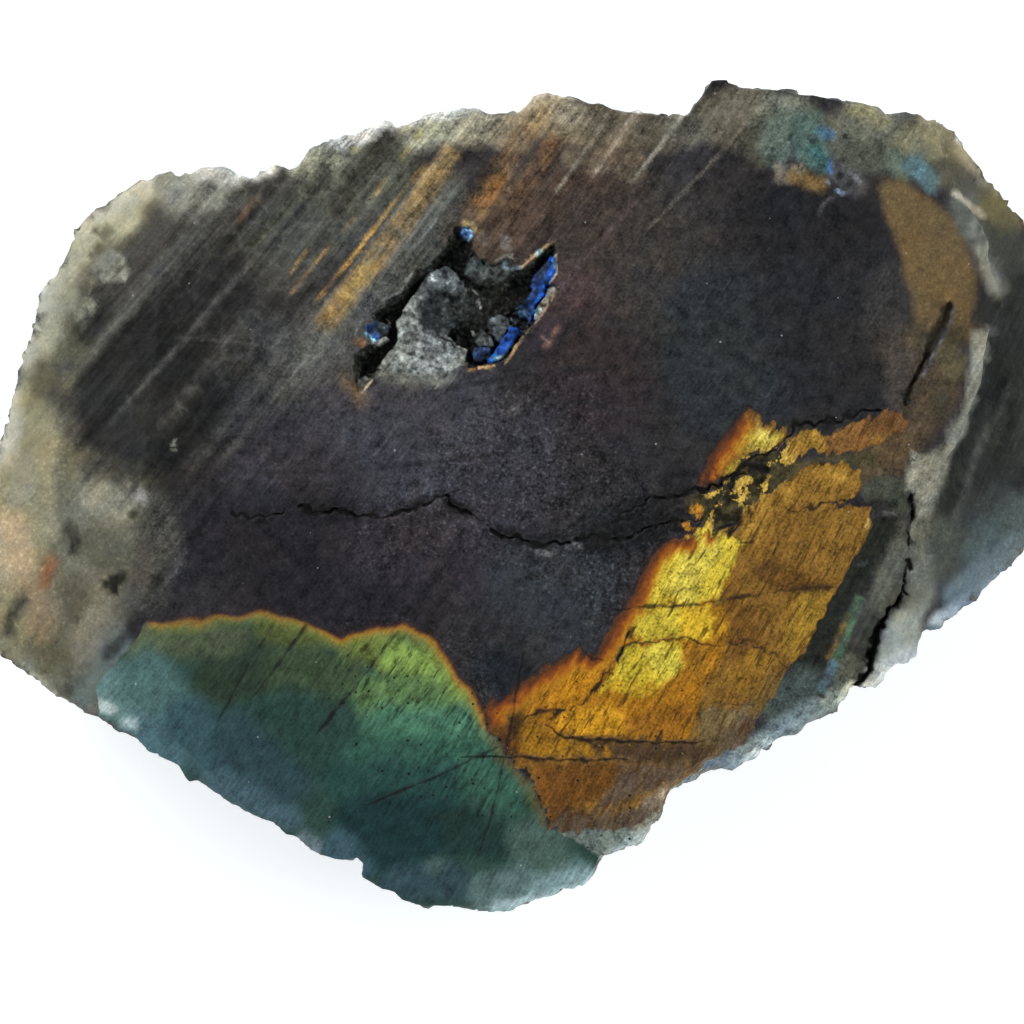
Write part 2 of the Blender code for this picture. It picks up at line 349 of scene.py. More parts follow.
GREEN_FLASH: Path = (
    -45,-20.2, -41.6,-17.6, -40.3,-16, -38.6,-14.2, -38,-13.2, -36,-12.7, -33,-12.3, -29.5,-12,
    -26.3,-11.5, -24,-11.9, -21.6,-12.9, -20,-14, -18.7,-14.4, -17.4,-13.7, -15,-13.4, -12.4,-13.1,
    -11,-13.4, -9.4,-14.6, -7.9,-16.2, -6.5,-18.5, -5.1,-20.5, -4.1,-22.2, -3.2,-24, -1.9,-26, -0.4,-27.6,
    0.9,-29.6, 1.6,-31.4, 2.4,-33.2, 5,-34.6, 8.5,-37, 12,-41, 8,-47, -30,-47, -62,-24,
)
GOLD_FLASH: Path = (
    2.4,-33, 1.6,-31.2, 0.9,-29.4, -0.4,-27.4, -1.9,-25.8, -3.2,-23.8, -4.4,-21.6, -3.4,-20.6, -1.4,-19.9,
    -0.6,-18.8, 2.9,-16.9, 4.6,-15.6, 6.2,-15.9, 7.2,-15.6, 8,-14.2, 8.8,-12.6, 9.7,-11.6, 10.5,-10.3,
    11.2,-8.5, 12.3,-6.6, 13.4,-5.1, 14.4,-4.5, 15.8,-4.3, 17,-3, 18,-2.6, 19,-3.7, 20.6,-3.6, 21.4,-2.2,
    22.1,-1.1, 22.9,-1.7, 23.2,-0.1, 24.6,0.4, 25.6,1.2, 27,2.2, 28.8,3.2, 30.6,3.2, 32.4,2.7, 33.8,1.4,
    33.3,0.4, 32.3,-0.5, 30.6,-0.8, 32.6,-1.2, 34.3,-1.3, 34.6,-2.6, 33.8,-4.6, 33.2,-6, 32,-7.6, 31,-9.4,
    30.2,-10.6, 29.2,-12.4, 28.4,-14.6, 27.4,-16.2, 26.2,-17.4, 25.4,-18.8, 24.4,-20.6, 23.2,-22.4,
    22.2,-24.4, 20.2,-25.5, 18.4,-26.8, 16.4,-28.6, 13.6,-31.4, 10.4,-33.6, 6.6,-33.4, 4.4,-33.8,
)
GOLD_ISLANDS: tuple[Path, ...] = (
    (17.2,0.7, 18.3,3.5, 19.9,5.9, 21.5,8, 22.2,8.1, 23.6,7.6, 25.2,7, 26.7,6.7, 26.2,5.7, 25.2,5.1,
     24.4,4.4, 22.6,4.2, 21.6,3.5, 20.9,2.3, 19.8,1.3, 18.4,0.7),
    (25.6,3.8, 26.1,5.4, 28.2,6.5, 30,5.8, 32,6.6, 34.6,7.9, 37.4,8.3, 38.4,7.2, 36.4,6, 33.6,4.5,
     32.4,4.1, 29.8,4.2, 27.6,4.2),
    (16,-1.9, 16.8,-1.2, 18,-1.1, 17.6,-2.1, 16.6,-2.3),
    (15.3,-2.9, 16.3,-2.6, 16.9,-3.2, 16.2,-3.9, 15.6,-3.7),
)
BRONZE_PATCH: Path = (
    34.8,30.9, 35.4,29.2, 36.4,26.8, 37.6,23.6, 38.4,20, 38.8,17.2, 40.4,16.4, 42.6,16.8, 44.4,17.4,
    45.2,19.4, 45,22.2, 43.8,25.4, 42.4,28, 40.4,30, 38,31.2, 36,31.6,
)

# The body of the stone, painted from the widest touches to the smallest
BODY = "#302f31"
BRONZE = "#69593e"
SEAM_OLIVE = "#4e4831"
RUBBLE = "#17160f"
WALL_DARK = "#45453f"
WALL_PALE = "#8d8b82"
RUST = "#6e5636"
SAWN_BASE = "#4b4a48"
GROUND: Touches = (
    # Broad drifts of tone across the dark feldspar
    Dab("#272726", (-40,17, -33,13, -38,9), 5, 5), Dab("#212121", (-37,15.4, -34,12.6), 1.6, 4),
    Dab("#2b2a29", (-32,22, -27,20), 3, 4), Dab("#3d3c38", (-41,22, -36,25, -31,28), 2, 3.6),
    Dab("#45443e", (-30,29.4, -24,29), 1.6, 3.6), Dab("#444541", (-24,24.6, -20,28, -17,31), 2.2, 4),
    Dab("#505147", (-19,30.4, -14,33), 1.6, 3), Dab("#3d3d3d", (-27,14, -25,9, -23.6,6), 2.2, 4),
    Dab("#535350", (-22,14, -18,16.4), 2, 4), Dab("#555752", (-14.6,21.4, -11,25.4, -8.6,29.4), 1.8, 2.6),
    Dab("#414147", (-18,7, -6,8, -5,3, -14,2), 2.4, 4.4), Dab("#37363b", (-26,4, -20,0), 2.6, 4),
    Dab("#27262a", (-30,-4, -20,-4, -25,-9, -12,-11.6), 2.4, 3.6),
    Dab("#343136", (-15,-5, -5,-6.4), 2.4, 3.6), Dab("#3a393f", (-4,-1, 0,4), 2.4, 4),
    Dab("#34373b", (0,-9, 6,-8, 3,-13), 2.2, 3.4), Dab("#22262a", (-2.6,-17.6, -1,-18.6), 0.9, 2.6),
    Dab("#212325", (8,-4, 12,-2.4), 1, 2.6), Dab("#4e4239", (-3.4,25.6, 3,28.6), 2.4, 4),
    Dab("#463c36", (5,30, 10,29), 2.4, 3.6), Dab("#403936", (4,23, 10,23), 3, 4),
    Dab("#4b3d3b", (2,18.6, 5,20), 1.4, 3), Dab("#352f31", (5,14, 8,10.6), 2.6, 4),
    Dab("#3c3937", (14,28, 14,21), 2.6, 4), Dab("#2e3235", (20,17, 21,10.6), 3.6, 5),
    Dab("#262628", (26,27.6, 31,25.6), 3, 4), Dab("#2a2a2c", (29,19, 31,12), 3.6, 4),
    Dab("#383736", (36,17, 36.6,21), 1, 2.4), Dab("#46413c", (37.8,14, 38.4,10.6), 1.4, 2.2),
    Dab("#4e4436", (41.4,13, 40,8.4, 38,6), 1.5, 1.6), Dab("#5d5640", (41.6,14.6, 42.6,13.2), 0.9, 1.2),
    Dab("#554836", (36,5, 35.4,2), 1.4, 1.8),
    # The upper edge, from the left: broken rim, its near-white lines painted light glowing through the
    # thin edge, then brown and grey sheets
    Dab("#86867a", (-35,30, -30.6,30.4), 1, 2.2),
    Dab("#bdbdb4", (-33.6,32.2, -28.6,32, -25.4,32.8), 0.3, 1.2),
    Dab("#8b8c78", (-22.4,33.2, -19.6,33.8), 0.8, 1.4),
    Dab("#c3c4bf", (-18.6,35.4, -15.6,36.6, -13.4,37.4), 0.5, 1.2),
    Dab("#a5a48c", (-10.6,36.4, -7,37), 0.9, 2), Dab("#cdcec6", (-11,38, -7.6,38.8, -5,39.2), 0.3, 1.1),
    Dab("#938e79", (-5.4,36.6, -3,37.2), 0.8, 1.8), Dab("#867b67", (-1.4,35.6, 0,38), 0.8, 1.8),
    Dab("#b5ac9a", (0.6,39.6, 3.6,39.6), 0.5, 1.3), Dab("#82765e", (3,37.4, 6,37), 1.2, 2),
    Dab("#6a6252", (7.4,36.4, 11.4,36.8), 1.4, 1.8),
    Dab("#605649", (4.8,33.8, 9,33.2, 10.6,32.8), 1.2, 0.5), Dab("#5c564b", (12.4,36, 15,36.4), 1.3, 0.9),
    Dab("#605e54", (16.6,37.6, 21,38.2, 23,38.6), 1.9, 1.6),
    Dab("#4c4b42", (21.8,35.6, 23.4,34.2), 0.7, 1.4),
    # The teal corner and the grey spot under it
    Dab("#74776b", (24,38.4, 27,38.8), 0.8, 1.6), Dab("#606c62", (25.6,36.6, 25,34.6), 1, 1.4),
    Dab("#52665e", (28.4,36.8, 28.8,34), 0.9, 1.4), Dab("#6a6c5f", (32,36.4, 36,36.8), 1.4, 1.8),
    Dab("#807d60", (33,38.8, 35.4,38), 0.4, 1.4), Dab("#54574d", (32.4,34, 35.4,33.4), 0.9, 1.4),
    Dab("#70725f", (38.4,35.6, 40.4,35), 1.1, 1.6), Dab("#5f6c60", (36.8,33.6, 38,32.2), 0.6, 1),
    Dab("#5b7a84", (38.8,33, 40.6,31.4), 0.5, 0.9), Dab("#6a6357", (25.6,31.9), 0.5, 0.7),
    Dab("#78623e", (26.8,31.9, 29.4,31.1), 0.4, 0.8), Dab("#4c4d4f", (31,32.4, 33,31.4), 0.8, 0.6),
    Dab("#5c5038", (39.4,16, 44.2,16.2), 0.5, 1.8, 0.75),
    # The right end: outer band, whitest at the rim with painted light glowing through the thin edge, pale
    # ridge and the dark shelf behind it
    Dab("#8e886c", (40.6,37, 43,35), 0.9, 1.8), Dab("#9e987f", (44.4,34.8, 47.6,31.4), 0.5, 1.6),
    Dab("#d6d4c4", (47.6,35, 51.2,30.4), 0.2, 1), Dab("#5e5d50", (42.6,32, 45,30.2), 0.9, 1.4),
    Dab("#6f6848", (47,29.6, 49,27.8), 0.8, 1.4), Dab("#60635a", (43.8,29, 44.6,26.4), 1, 1.2),
    Dab("#454840", (47.6,25.4, 50,24), 1.2, 1.6), Dab("#323431", (51,19, 49.6,10, 46.8,4), 3, 1.6),
    Dab("#262826", (48.6,14, 47.2,7, 46,2, 44.6,-2), 1.2, 1.8),
    Dab("#2b2d2a", (44.2,5, 42.6,0.6, 41.4,-3.6), 0.6, 0.8), Dab("#3a3f3c", (47.4,-1.6, 44,-4), 1.2, 2.4),
    Dab("#4f5a57", (50.4,-1.6, 45.6,-5.8), 0.8, 2),
    Dab("#667579", (51,-4.6, 47,-7.4, 43.2,-9.8), 0.8, 1.6),
    Dab("#84959e", (48.6,-8.4, 45.6,-10.2, 43.4,-11.6), 0.3, 1),
    Dab("#a9b5b9", (43.2,-12, 41,-12.9), 0.3, 0.9), Dab("#4d514a", (42,-3.6, 41.8,-7), 0.8, 1.8),
    Dab("#72756a", (39.4,-7, 39.4,-10.4), 0.9, 1.6),
    Patch("#9aa299", (39.9,-11.4, 39.7,-13.4, 39.8,-15, 39.4,-17, 37.4,-18, 36,-20, 33.8,-20, 33.6,-18.6,
        34.8,-17, 35.2,-15, 35.9,-13, 37.4,-11.2), 0.7),
    Dab("#c0c6c3", (38.6,-16.4, 36.6,-17.4, 35,-18.8), 0.5, 1.6),
    Dab("#8b8c80", (45.3,26.6, 46,23.6, 47.2,20.6), 0.5, 1.1),
    Patch("#83857a", (46.6,17, 46.2,13, 45.6,10.4, 44.6,7.6, 43.5,5.4, 42.8,4, 42.2,2.2, 41.6,0.6,
        41.2,-1, 40.9,-2.4, 40.4,-4, 40,-6, 39.6,-8, 38.7,-8, 38.4,-5, 38.7,-3.6, 38.8,-2.4, 39,-1.6,
        38.6,0.2, 38.1,0.5, 38,1.6, 38.3,2.8, 38.7,4.4, 39.3,4, 40.4,4, 41.4,4.4, 42,5.4, 43,7.8, 44,10.6,
        44.6,13.4, 44.6,16.6), 0.4),
    Dab("#97998c", (45.4,15.4, 45.2,12.4), 0.3, 0.9), Dab("#8f9083", (38.9,3.8, 38.5,1.2), 0.15, 0.5),
    Dab("#6c6e61", (39.9,-3, 39,-6.2), 0.4, 0.9),
    Patch("#585a51", (37.2,-2.4, 38,-2.6, 38.2,-6, 37.6,-9, 36.6,-11, 35.2,-12.8, 34.2,-12, 34.4,-9.6,
        35.4,-7, 36.6,-4.6), 0.6),
    Patch("#3d3e38", (34.6,-11.4, 35.2,-12.8, 34.4,-15.6, 33.4,-18.2, 32.2,-18.4, 32.6,-15.6,
        33.4,-13), 0.6),
    Dab("#45483e", (34.6,0.4, 36.6,0.8, 37.4,-0.8), 0.6, 1),
    # The dark strip beside the gold flash, and the rim below it, its pale blue-grey lines painted light
    # glowing through the thin edge
    Patch("#232622", (34.8,-2.1, 37.1,-2.1, 36.9,-3.4, 36,-5, 35,-7, 34,-8.8, 33,-10.2, 32.2,-11.8,
        31.2,-13.8, 30.2,-15.6, 29.4,-17.4, 27.6,-18, 26.6,-17, 28.4,-13.4, 30,-10, 32,-6.4,
        33.6,-4), 0.35),
    Dab("#50544b", (32.6,-17, 31.2,-19.2), 0.6, 1), Dab("#46504a", (28,-19, 25.4,-21), 1.2, 1.6),
    Dab("#8a958b", (31.6,-20, 29.6,-21.4), 0.5, 1.4),
    Dab("#7f8f92", (28.4,-21.8, 22.6,-25.6, 17,-28.6), 0.6, 1.5),
    Dab("#66757c", (19.6,-26.8, 15.8,-28.4), 0.4, 0.8), Dab("#6f7a70", (3.6,-36, 8.6,-35), 1.3, 2),
    Dab("#98a8a8", (9.6,-36, 12.4,-33.6), 0.5, 1.3), Dab("#7f8072", (11.6,-31.8, 14,-29.6), 0.8, 1.5),
    # The worn left end, pale partly with painted light glowing through its thin edge, and near-white
    # along the rim
    Patch("#8a8667", (-36,34, -36.9,31, -38,28.6, -39.2,26.8, -40.6,25.4, -42.6,24.6, -44.4,22.4,
        -46.4,19.8, -47.6,17.2, -48.6,14, -49.4,11, -48.2,9.2, -46.6,7, -46.4,3, -47,-2, -47.4,-8,
        -47.6,-14, -50,-24, -60,-20, -60,24, -50,34), 1.6),
    Patch("#615f4a", (-48.4,17.4, -45.8,16.8, -44.2,14.8, -45,12.4, -46,10, -47.6,10.4, -49.6,11,
        -49.2,14), 1),
    Patch("#737262", (-46.4,2.4, -43.6,1.6, -40.4,1, -38.6,0.4, -37.8,-1, -37.8,-3, -38.6,-6, -39.8,-9.4,
        -40.8,-12.8, -43,-16.6, -46.2,-20.6, -54,-20, -48.6,-10, -47.4,-4), 2),
    Dab("#4c4b42", (-47,9, -45.6,5, -43,2.8, -38,1.6), 0.4, 1.5),
    Dab("#4e4e49", (-36.8,-2, -36.6,-6, -38.4,-10), 0.8, 2.2),
    Dab("#6a6b63", (-41.4,-13.6, -42.6,-17, -43,-20.6), 0.9, 1.3),
    Dab("#66726e", (-45.4,-20.8, -42.2,-17.6, -40.4,-15.2), 0.5, 1.8),
    Dab("#acaa8f", (-41,28.2, -45.6,27, -47.6,22, -49.4,16.4), 1.2, 2),
    Dab("#bdbca8", (-37.4,31.4, -42,29.8, -47.6,25.8, -49.8,19, -51.4,13.6), 0.5, 1.5),
    Dab("#dcdcd6", (-36.6,33.4, -43,32, -48.4,26.8, -51.6,18.6), 0.7, 1.3),
    Dab("#bdbaa8", (-53,11, -52.8,7, -54,4), 0.9, 1.8),
    Dab("#959177", (-48.6,7.4, -48.6,1.4, -49,-3), 0.7, 2.2, 0.8),
    Dab("#8f8f7e", (-51,2.6, -51.4,0), 0.9, 1.6), Dab("#6e6c58", (-46.2,4, -46,1), 0.6, 1.4),
    Dab("#89897a", (-44,0.2, -41.4,-0.6), 0.8, 1.6), Dab("#5d5c4e", (-43.4,-5, -41,-6.4), 0.9, 1.8),
    Dab("#5e5c4c", (-45.6,-9.6, -45,-12), 0.8, 2), Dab("#5a5846", (-47.4,-16, -50,-17), 1, 2),
    Dab("#7c796a", (-43.2,-12.4, -44.6,-15.4), 0.8, 1.4),
    Dab("#b5a588", (-52.6,-3.6, -51.8,-7.4), 1.2, 2), Dab("#8b7a5f", (-50,-9.6, -49,-13), 0.9, 1.8),
    Dab("#7d7c68", (-53,-15.4, -50.4,-18), 0.6, 1.4), Dab("#a7a893", (-48,-20, -51,-18), 0.3, 0.8),
    Dab("#8f9285", (-34.8,31.6, -36.6,31.4), 0.8, 1),
)

# Small features of the body, laid over the drifts without wandering
DETAILS: Touches = (
    # Lamellae that show as straight pale lines in the upper left
    Dab("#4d4d47", (-47,12.2, -43.6,14.6, -38,20.6, -35.4,24, -29,29.6), 0.4, 0.8),
    Dab("#4c4c49", (-43,6, -34.6,15, -25.6,25.4, -20.6,31), 0.08, 0.45, 0.85, 0.15),
    Dab("#434340", (-37.6,5.4, -30,14.5, -22.6,23.4), 0.18, 0.6, 0.9, 0.15),
    Dab("#454543", (-34.6,1.4, -25.4,12.5, -20.8,18.6), 0.25, 0.7, 0.9, 0.15),
    Dab("#4d4d4a", (-31.6,2.2, -24,10.6, -18.6,17.4), 0.16, 0.6, 0.9, 0.15),
    Dab("#444441", (-39.8,18.3, -36.6,23, -32.6,26.6), 0.25, 0.5),
    Dab("#3d3d3c", (-36.1,8.5, -30.6,14.5), 0.1, 0.5, 0.7, 0.3),
    Dab("#56574a", (-28.5,23.7, -23.4,29.2, -18.4,34.2), 0.2, 0.8, 0.8, 0.2),
    Dab("#5b5c58", (-23.4,11.9, -18.3,18.6, -14.4,23.4), 0.3, 1, 0.9, 0.2),
    Dab("#6d6f6b", (-17.6,16.4, -12.8,22.4, -9.2,27.2), 0.05, 0.25, 0.8, 0.2),
    Dab("#7f807c", (-10.9,25, -8.6,27.8), 0.04, 0.18, 0.9, 0.2),
    Dab("#585a55", (-26,8.6, -20.6,15.6), 0.1, 0.35), Dab("#2a2a28", (-31,24, -27.6,28), 0.3, 0.6),
    Dab("#35352f", (-19.6,28.4, -16.4,32.4, -14,35.6), 0.4, 0.8),
    Dab("#575754", (-36.7,16, -29.5,15.3, -23.4,14.5, -18.2,13), 0.04, 0.24, 0.7, 0.2),
    Dab("#565659", (-33.6,-4.6, -35,-7.6, -37.4,-10.2, -38.8,-12.2), 0.08, 0.3, 0.9, 0.2),
    Dab("#57565c", (-11.8,8.6, -14,5.4, -17.6,1.6), 0.03, 0.16, 0.8, 0.3),
    Dab("#55545a", (-6.8,7, -10.6,1.6), 0.03, 0.16, 0.8, 0.3),
    # Faint dark seams across the body
    Dab("#27272a", (-19,12.2, -8,10.6, 2,12.4, 12,12.8), 0.05, 0.4, 0.7, 0.2),
    Dab("#27272a", (-31,2.2, -18,2.4, -3,4), 0.05, 0.4, 0.6, 0.2),
    Dab("#252528", (-26,-8.4, -14,-9.2, -2,-8.4), 0.05, 0.4, 0.6, 0.2),
    Dab("#262628", (4,9.8, 10,8.2, 17,8.6), 0.05, 0.4, 0.6, 0.2),
    Dab("#1c1c1d", (-28.6,-2.2, -26.4,-2.4, -24.6,-1.6), 0.15, 0.6, 0.8, 0.2),
    Dab("#1a1a1b", (-22.6,-1.2, -20,-1.8, -16,-2), 0.3, 0.6, 0.9, 0.1),
    Dab("#1a1a1b", (-8.2,-0.2, -7,-1.2, -5.4,-1.9), 0.3, 0.5, 0.9, 0.1),
    Dab("#1e1e1f", (-3.6,-3.6, 0.6,-4.7, 4.4,-4.8), 0.35, 0.8, 0.85, 0.1),
    Dab("#1d1d1e", (5.4,-4.4, 9,-4.3, 12.4,-3.2, 16,-2.6), 0.6, 1, 0.85, 0.08),
    Dab("#202021", (8.6,-2.4, 12,-0.8, 16.6,0.3), 0.45, 0.9, 0.8, 0.1),
    Dab("#202021", (12.6,1.4, 15.4,2, 17,1.6), 0.3, 0.9, 0.6, 0.2),
    Dab("#68686c", (1,-5.6, 2.6,-5.9, 3.2,-5.2), 0.12, 0.3, 0.9),
    Dab("#5c5c60", (4.2,-5, 5.4,-5.2), 0.12, 0.3, 0.9),
    Dab("#5a5a5f", (-2.4,8.4, -0.8,8.6), 0.1, 0.25, 0.9),
    Dab("#5c5c62", (-1.6,-0.6, -0.4,-0.9), 0.1, 0.25, 0.8),
    Dab("#64645f", (-22.4,12, -18.6,15.6), 0.5, 1.6, 0.8), Dab("#a39880", (2,38.6, 5,38), 0.5, 1.2, 0.9),
    # Gilded lamellae
    Dab("#857150", (-20.8,16.2, -16.5,21.8, -12.5,27, -9,32, -7,35.2), 0.75, 0.7, 0.9, 0.04),
    Dab("#97804e", (-19,18.2, -14.6,24.2), 0.4, 0.7, 0.9, 0.2),
    Dab("#927e58", (-12.4,27.4, -9.6,31.6, -7.2,34.6), 0.45, 0.8, 0.9, 0.1),
    Dab("#a08550", (-20.3,17.4, -18.9,19), 0.2, 0.5, 0.9, 0.3),
    Dab("#93794a", (-21.4,18.8, -17,24.4, -13.4,29, -9.6,33.6), 0.07, 0.24, 1, 0.1),
    Dab("#ab874a", (-19.2,21.4, -13.4,28.8), 0.06, 0.2, 0.9, 0.2),
    Dab("#8a6f48", (-22.8,21.2, -19.2,25.4), 0.05, 0.22, 0.9, 0.3),
    Dab("#866c46", (-24.1,21.4, -21.5,25.1), 0.05, 0.2, 0.9, 0.3),
    Dab("#7a6448", (-23.8,19.8, -22.4,21.6), 0.05, 0.25, 0.9, 0.3),
    Dab("#7a6a48", (-18.6,25.8, -16.8,28.2), 0.05, 0.22, 0.9, 0.3),
    Dab("#8a7850", (-15.6,29.4, -13.4,32.2), 0.06, 0.24, 0.9, 0.3),
    Dab("#9a8c5a", (-12.8,33.3, -11.4,35.2), 0.08, 0.3, 0.9, 0.3),
    Dab("#a39c66", (-11.2,35.3, -10.2,36.7), 0.1, 0.4, 0.9, 0.2),
    Dab("#96926c", (-17.8,34.4, -16.4,34.8), 0.12, 0.5, 0.8, 0.2),
    Dab("#5c4d3e", (-29.4,26.7, -26.2,30.4), 0.12, 0.6, 0.8, 0.25),
    Dab("#7a6348", (-5.6,27.5, -2.6,32.4, 0.6,36.8), 0.7, 0.9, 0.9, 0.06),
    Dab("#8d663e", (-4.9,28.1, -2,32.4), 0.3, 0.9, 0.9, 0.2),
    Dab("#a08a66", (0.2,36.2, 2.4,39), 0.35, 0.8, 0.9, 0.2),
    Dab("#70573f", (-2,28.3, 0.8,32.6, 3.4,36.4), 0.5, 0.8, 0.9, 0.1),
    Dab("#7d5f42", (0.2,31.2, 2.6,34.6), 0.2, 0.7, 0.8, 0.25),
    Dab("#4d443a", (-1.9,30, 1.2,35), 0.1, 0.4, 0.8, 0.2),
    Dab("#b8a482", (-2,30.3, -1.5,31.1), 0.04, 0.16, 0.9, 0.3),
    # Pale lamellae and sheet edges in the upper right
    Dab("#8b8375", (6.6,31.8, 9,35.4, 10.6,38), 0.06, 0.24),
    Dab("#8a877b", (10.4,31.2, 13.2,34.6, 15.8,38.2), 0.08, 0.24),
    Dab("#7a776d", (3,30.4, 6.4,35, 8,38), 0.05, 0.22),
    Dab("#6c675e", (12,26.4, 17,31.6, 19.6,34.4, 22.3,37.4), 0.05, 0.22),
    Dab("#b3b2ab", (15.6,38.3, 17.2,40.4, 18.2,41.4), 0.1, 0.5),
    Dab("#5d4f46", (-0.6,25.4, 6.2,33), 0.06, 0.3),
    Dab("#54494a", (3.4,20.4, 7.4,25.4, 11,29.4), 0.06, 0.3),
    Dab("#aeb0aa", (9.2,38.6, 13,38.2), 0.1, 0.3),
    # The teal corner
    Dab("#4f7390", (29.4,36.4, 30.3,36.1), 0.35, 0.45), Dab("#446a68", (28.9,34.4, 29.7,32.8), 0.35, 0.7),
    Dab("#2f3a38", (28.6,35.3), 0.12, 0.25), Dab("#2f3a38", (31.9,35.8), 0.14, 0.3),
    Dab("#2f3a38", (26.3,35.6, 26.5,36), 0.1, 0.25), Dab("#3a6ea8", (30.3,33.1, 30.5,32.4), 0.1, 0.25),
    Dab("#8ba2bc", (31.2,30.4, 31.7,30.2), 0.1, 0.25), Dab("#8f949e", (30.2,31.3), 0.1, 0.25),
    Dab("#6f7278", (32.6,32.3, 33.4,31.2), 0.12, 0.3), Dab("#27282a", (31.4,31.9), 0.25, 0.3),
    Dab("#2c2d2f", (32.4,31.2), 0.2, 0.3),
    Dab("#55555a", (31.2,30.1, 29.8,29.2, 29,27.6), 0.05, 0.3, 0.8, 0.3),
    Dab("#7d7a6c", (25.2,32.8), 0.3, 0.4), Dab("#8d8267", (27.3,32.7), 0.35, 0.4),
    Dab("#404138", (37.6,38, 38.6,37.4), 0.3, 0.6),
    # The right end
    # A near-white line on the rim: painted light glowing through the thin edge
    Dab("#e2e1d6", (43.6,35.8, 46.6,33.4), 0.15, 0.5),
    Dab("#56564c", (41.8,33, 43.4,31.6, 45,31), 0.25, 0.6),
    Dab("#b9b29c", (43,30.2, 45.2,28.8, 46,28.2), 0.2, 0.5),
    Dab("#58524a", (44.6,25.2, 45,22.6), 0.15, 0.4),
    Dab("#6a6a72", (42.9,19.4, 42.5,17.4, 41.4,15.2, 40.3,13, 39.4,11.4), 0.06, 0.2, 0.9, 0.1),
    Dab("#2c2d29", (47.2,19.4, 46.2,18.2), 0.6, 0.7), Dab("#4c4f48", (46,27.2, 45.4,25.4), 0.3, 0.7),
    Dab("#494c48", (47.4,8.4, 45.2,3.6, 44,-0.6, 42.8,-3.8), 0.15, 0.6, 0.9, 0.15),
    Dab("#424541", (49.4,12, 46.8,4), 0.1, 0.6, 0.8, 0.2), Dab("#3e3f3a", (41.6,9.6, 41.8,8.4), 0.3, 0.7),
    Dab("#94989a", (35.9,-1.9, 36.5,-1.7, 36.9,-1.9), 0.07, 0.2, 0.9),
    Dab("#2d2e2a", (36.2,-1.1, 36.8,-1), 0.2, 0.4), Dab("#3c4247", (33.2,-7, 34,-6.8), 0.05, 0.2),
    Dab("#53636b", (43.9,-11.8, 44.4,-11.3), 0.25, 0.3),
    Dab("#5e6f77", (40.7,-13.3, 41.8,-13.5), 0.2, 0.35), Dab("#5b6c76", (46,-9.8, 46.7,-9.6), 0.15, 0.35),
    Dab("#d5dadb", (47.2,-8.8, 46.8,-9), 0.06, 0.2),
    Patch("#46604e", (33,-9.9, 33.8,-10.2, 33.7,-11, 33.2,-12.4, 32.6,-13.8, 31.9,-15.6, 31.2,-16.8,
        30.4,-16.4, 31.2,-14.8, 31.9,-13, 32.4,-11.4), 0.22, 0.9),
    Dab("#537052", (32.8,-11.4, 31.9,-14.4), 0.15, 0.4, 0.8, 0.2),
    Dab("#6b5933", (32.4,-11.6, 31.6,-13.4, 30.8,-15.2, 30,-16.6), 0.12, 0.3, 0.9, 0.1),
    Dab("#4c6470", (30.7,-17, 30.3,-18.4), 0.3, 0.5), Dab("#4f6469", (30,-18.6, 29.4,-19.6), 0.2, 0.5),
    Dab("#2c2f29", (29.2,-20, 29.8,-20.2), 0.08, 0.25),
    Dab("#b4b9a6", (32.6,-18.9, 31.6,-20.2), 0.2, 0.5), Dab("#c2cfd0", (24.4,-24.6, 22,-26.6), 0.2, 0.5),
    # Spots, blotches and stains of the worn left end
    Patch("#8f8f80", (-43.8,24.6, -42,25, -40.6,24.4, -39.8,22.6, -40.2,21.6, -42.4,21.5, -44,22.4), 0.4),
    Dab("#a3a597", (-42.6,21.9, -40.6,22), 0.15, 0.6, 0.8),
    Patch("#8f907b", (-46.8,20.6, -44.4,20.6, -43.4,19.6, -43.6,18.2, -44.6,17.6, -46.2,17.2,
        -47.2,18.2), 0.5),
    Dab("#837c64", (-44.8,22.8, -44,21.4), 0.3, 0.7, 0.8),
    Dab("#585640", (-43.4,26.8, -42.2,26.8, -42,26.2, -43.6,24.4), 0.2, 0.6),
    Dab("#5a594a", (-46,18.2, -46,17.6), 0.15, 0.6), Dab("#3b3b32", (-44.1,15.9), 0.2, 0.7),
    Patch("#5b5f59", (-51.2,13.1, -50.6,12.8, -51,11.8, -51.6,11.4, -52.1,12.2), 0.35),
    Patch("#8b8b85", (-40,1.2, -38.6,1, -37.7,-0.1, -38.2,-0.9, -39.6,-0.6), 0.6),
    Dab("#353531", (-44.4,3.9, -41.9,3.1, -40,2.8, -37.6,1.9, -35,0.8), 0.25, 0.6, 1, 0.15),
    Dab("#2b2b23", (-46,-3.2, -45.5,-5.2), 0.45, 0.55),
    Dab("#21221b", (-42,-9, -41.4,-9.4, -41.4,-8.6, -40.4,-8.3), 0.35, 0.5),
    Dab("#36372e", (-39.2,-1.8, -39.5,-2), 0.15, 0.45),
    Dab("#3e3f36", (-51.4,-10.8, -51.9,-12, -52.6,-13.6), 0.4, 0.8),
    Dab("#45453a", (-49.7,-14.5), 0.2, 0.6), Dab("#80553a", (-48.1,-6.8, -48.8,-8.8), 0.15, 1.1, 0.85),
    Dab("#43433a", (-46,-18.4, -46.2,-20), 0.25, 0.7),
    Dab("#2b2b29", (-38.6,-12.4, -40.6,-14.8, -42.8,-16.6), 0.3, 0.7, 0.75, 0.15),
    Dab("#2e2f2e", (-35.6,-6.8, -38,-10.4), 0.2, 0.6), Dab("#8e8f8a", (-35.2,5.1), 0.08, 0.25),
    Dab("#77786f", (-35.1,4.5), 0.08, 0.2),
)
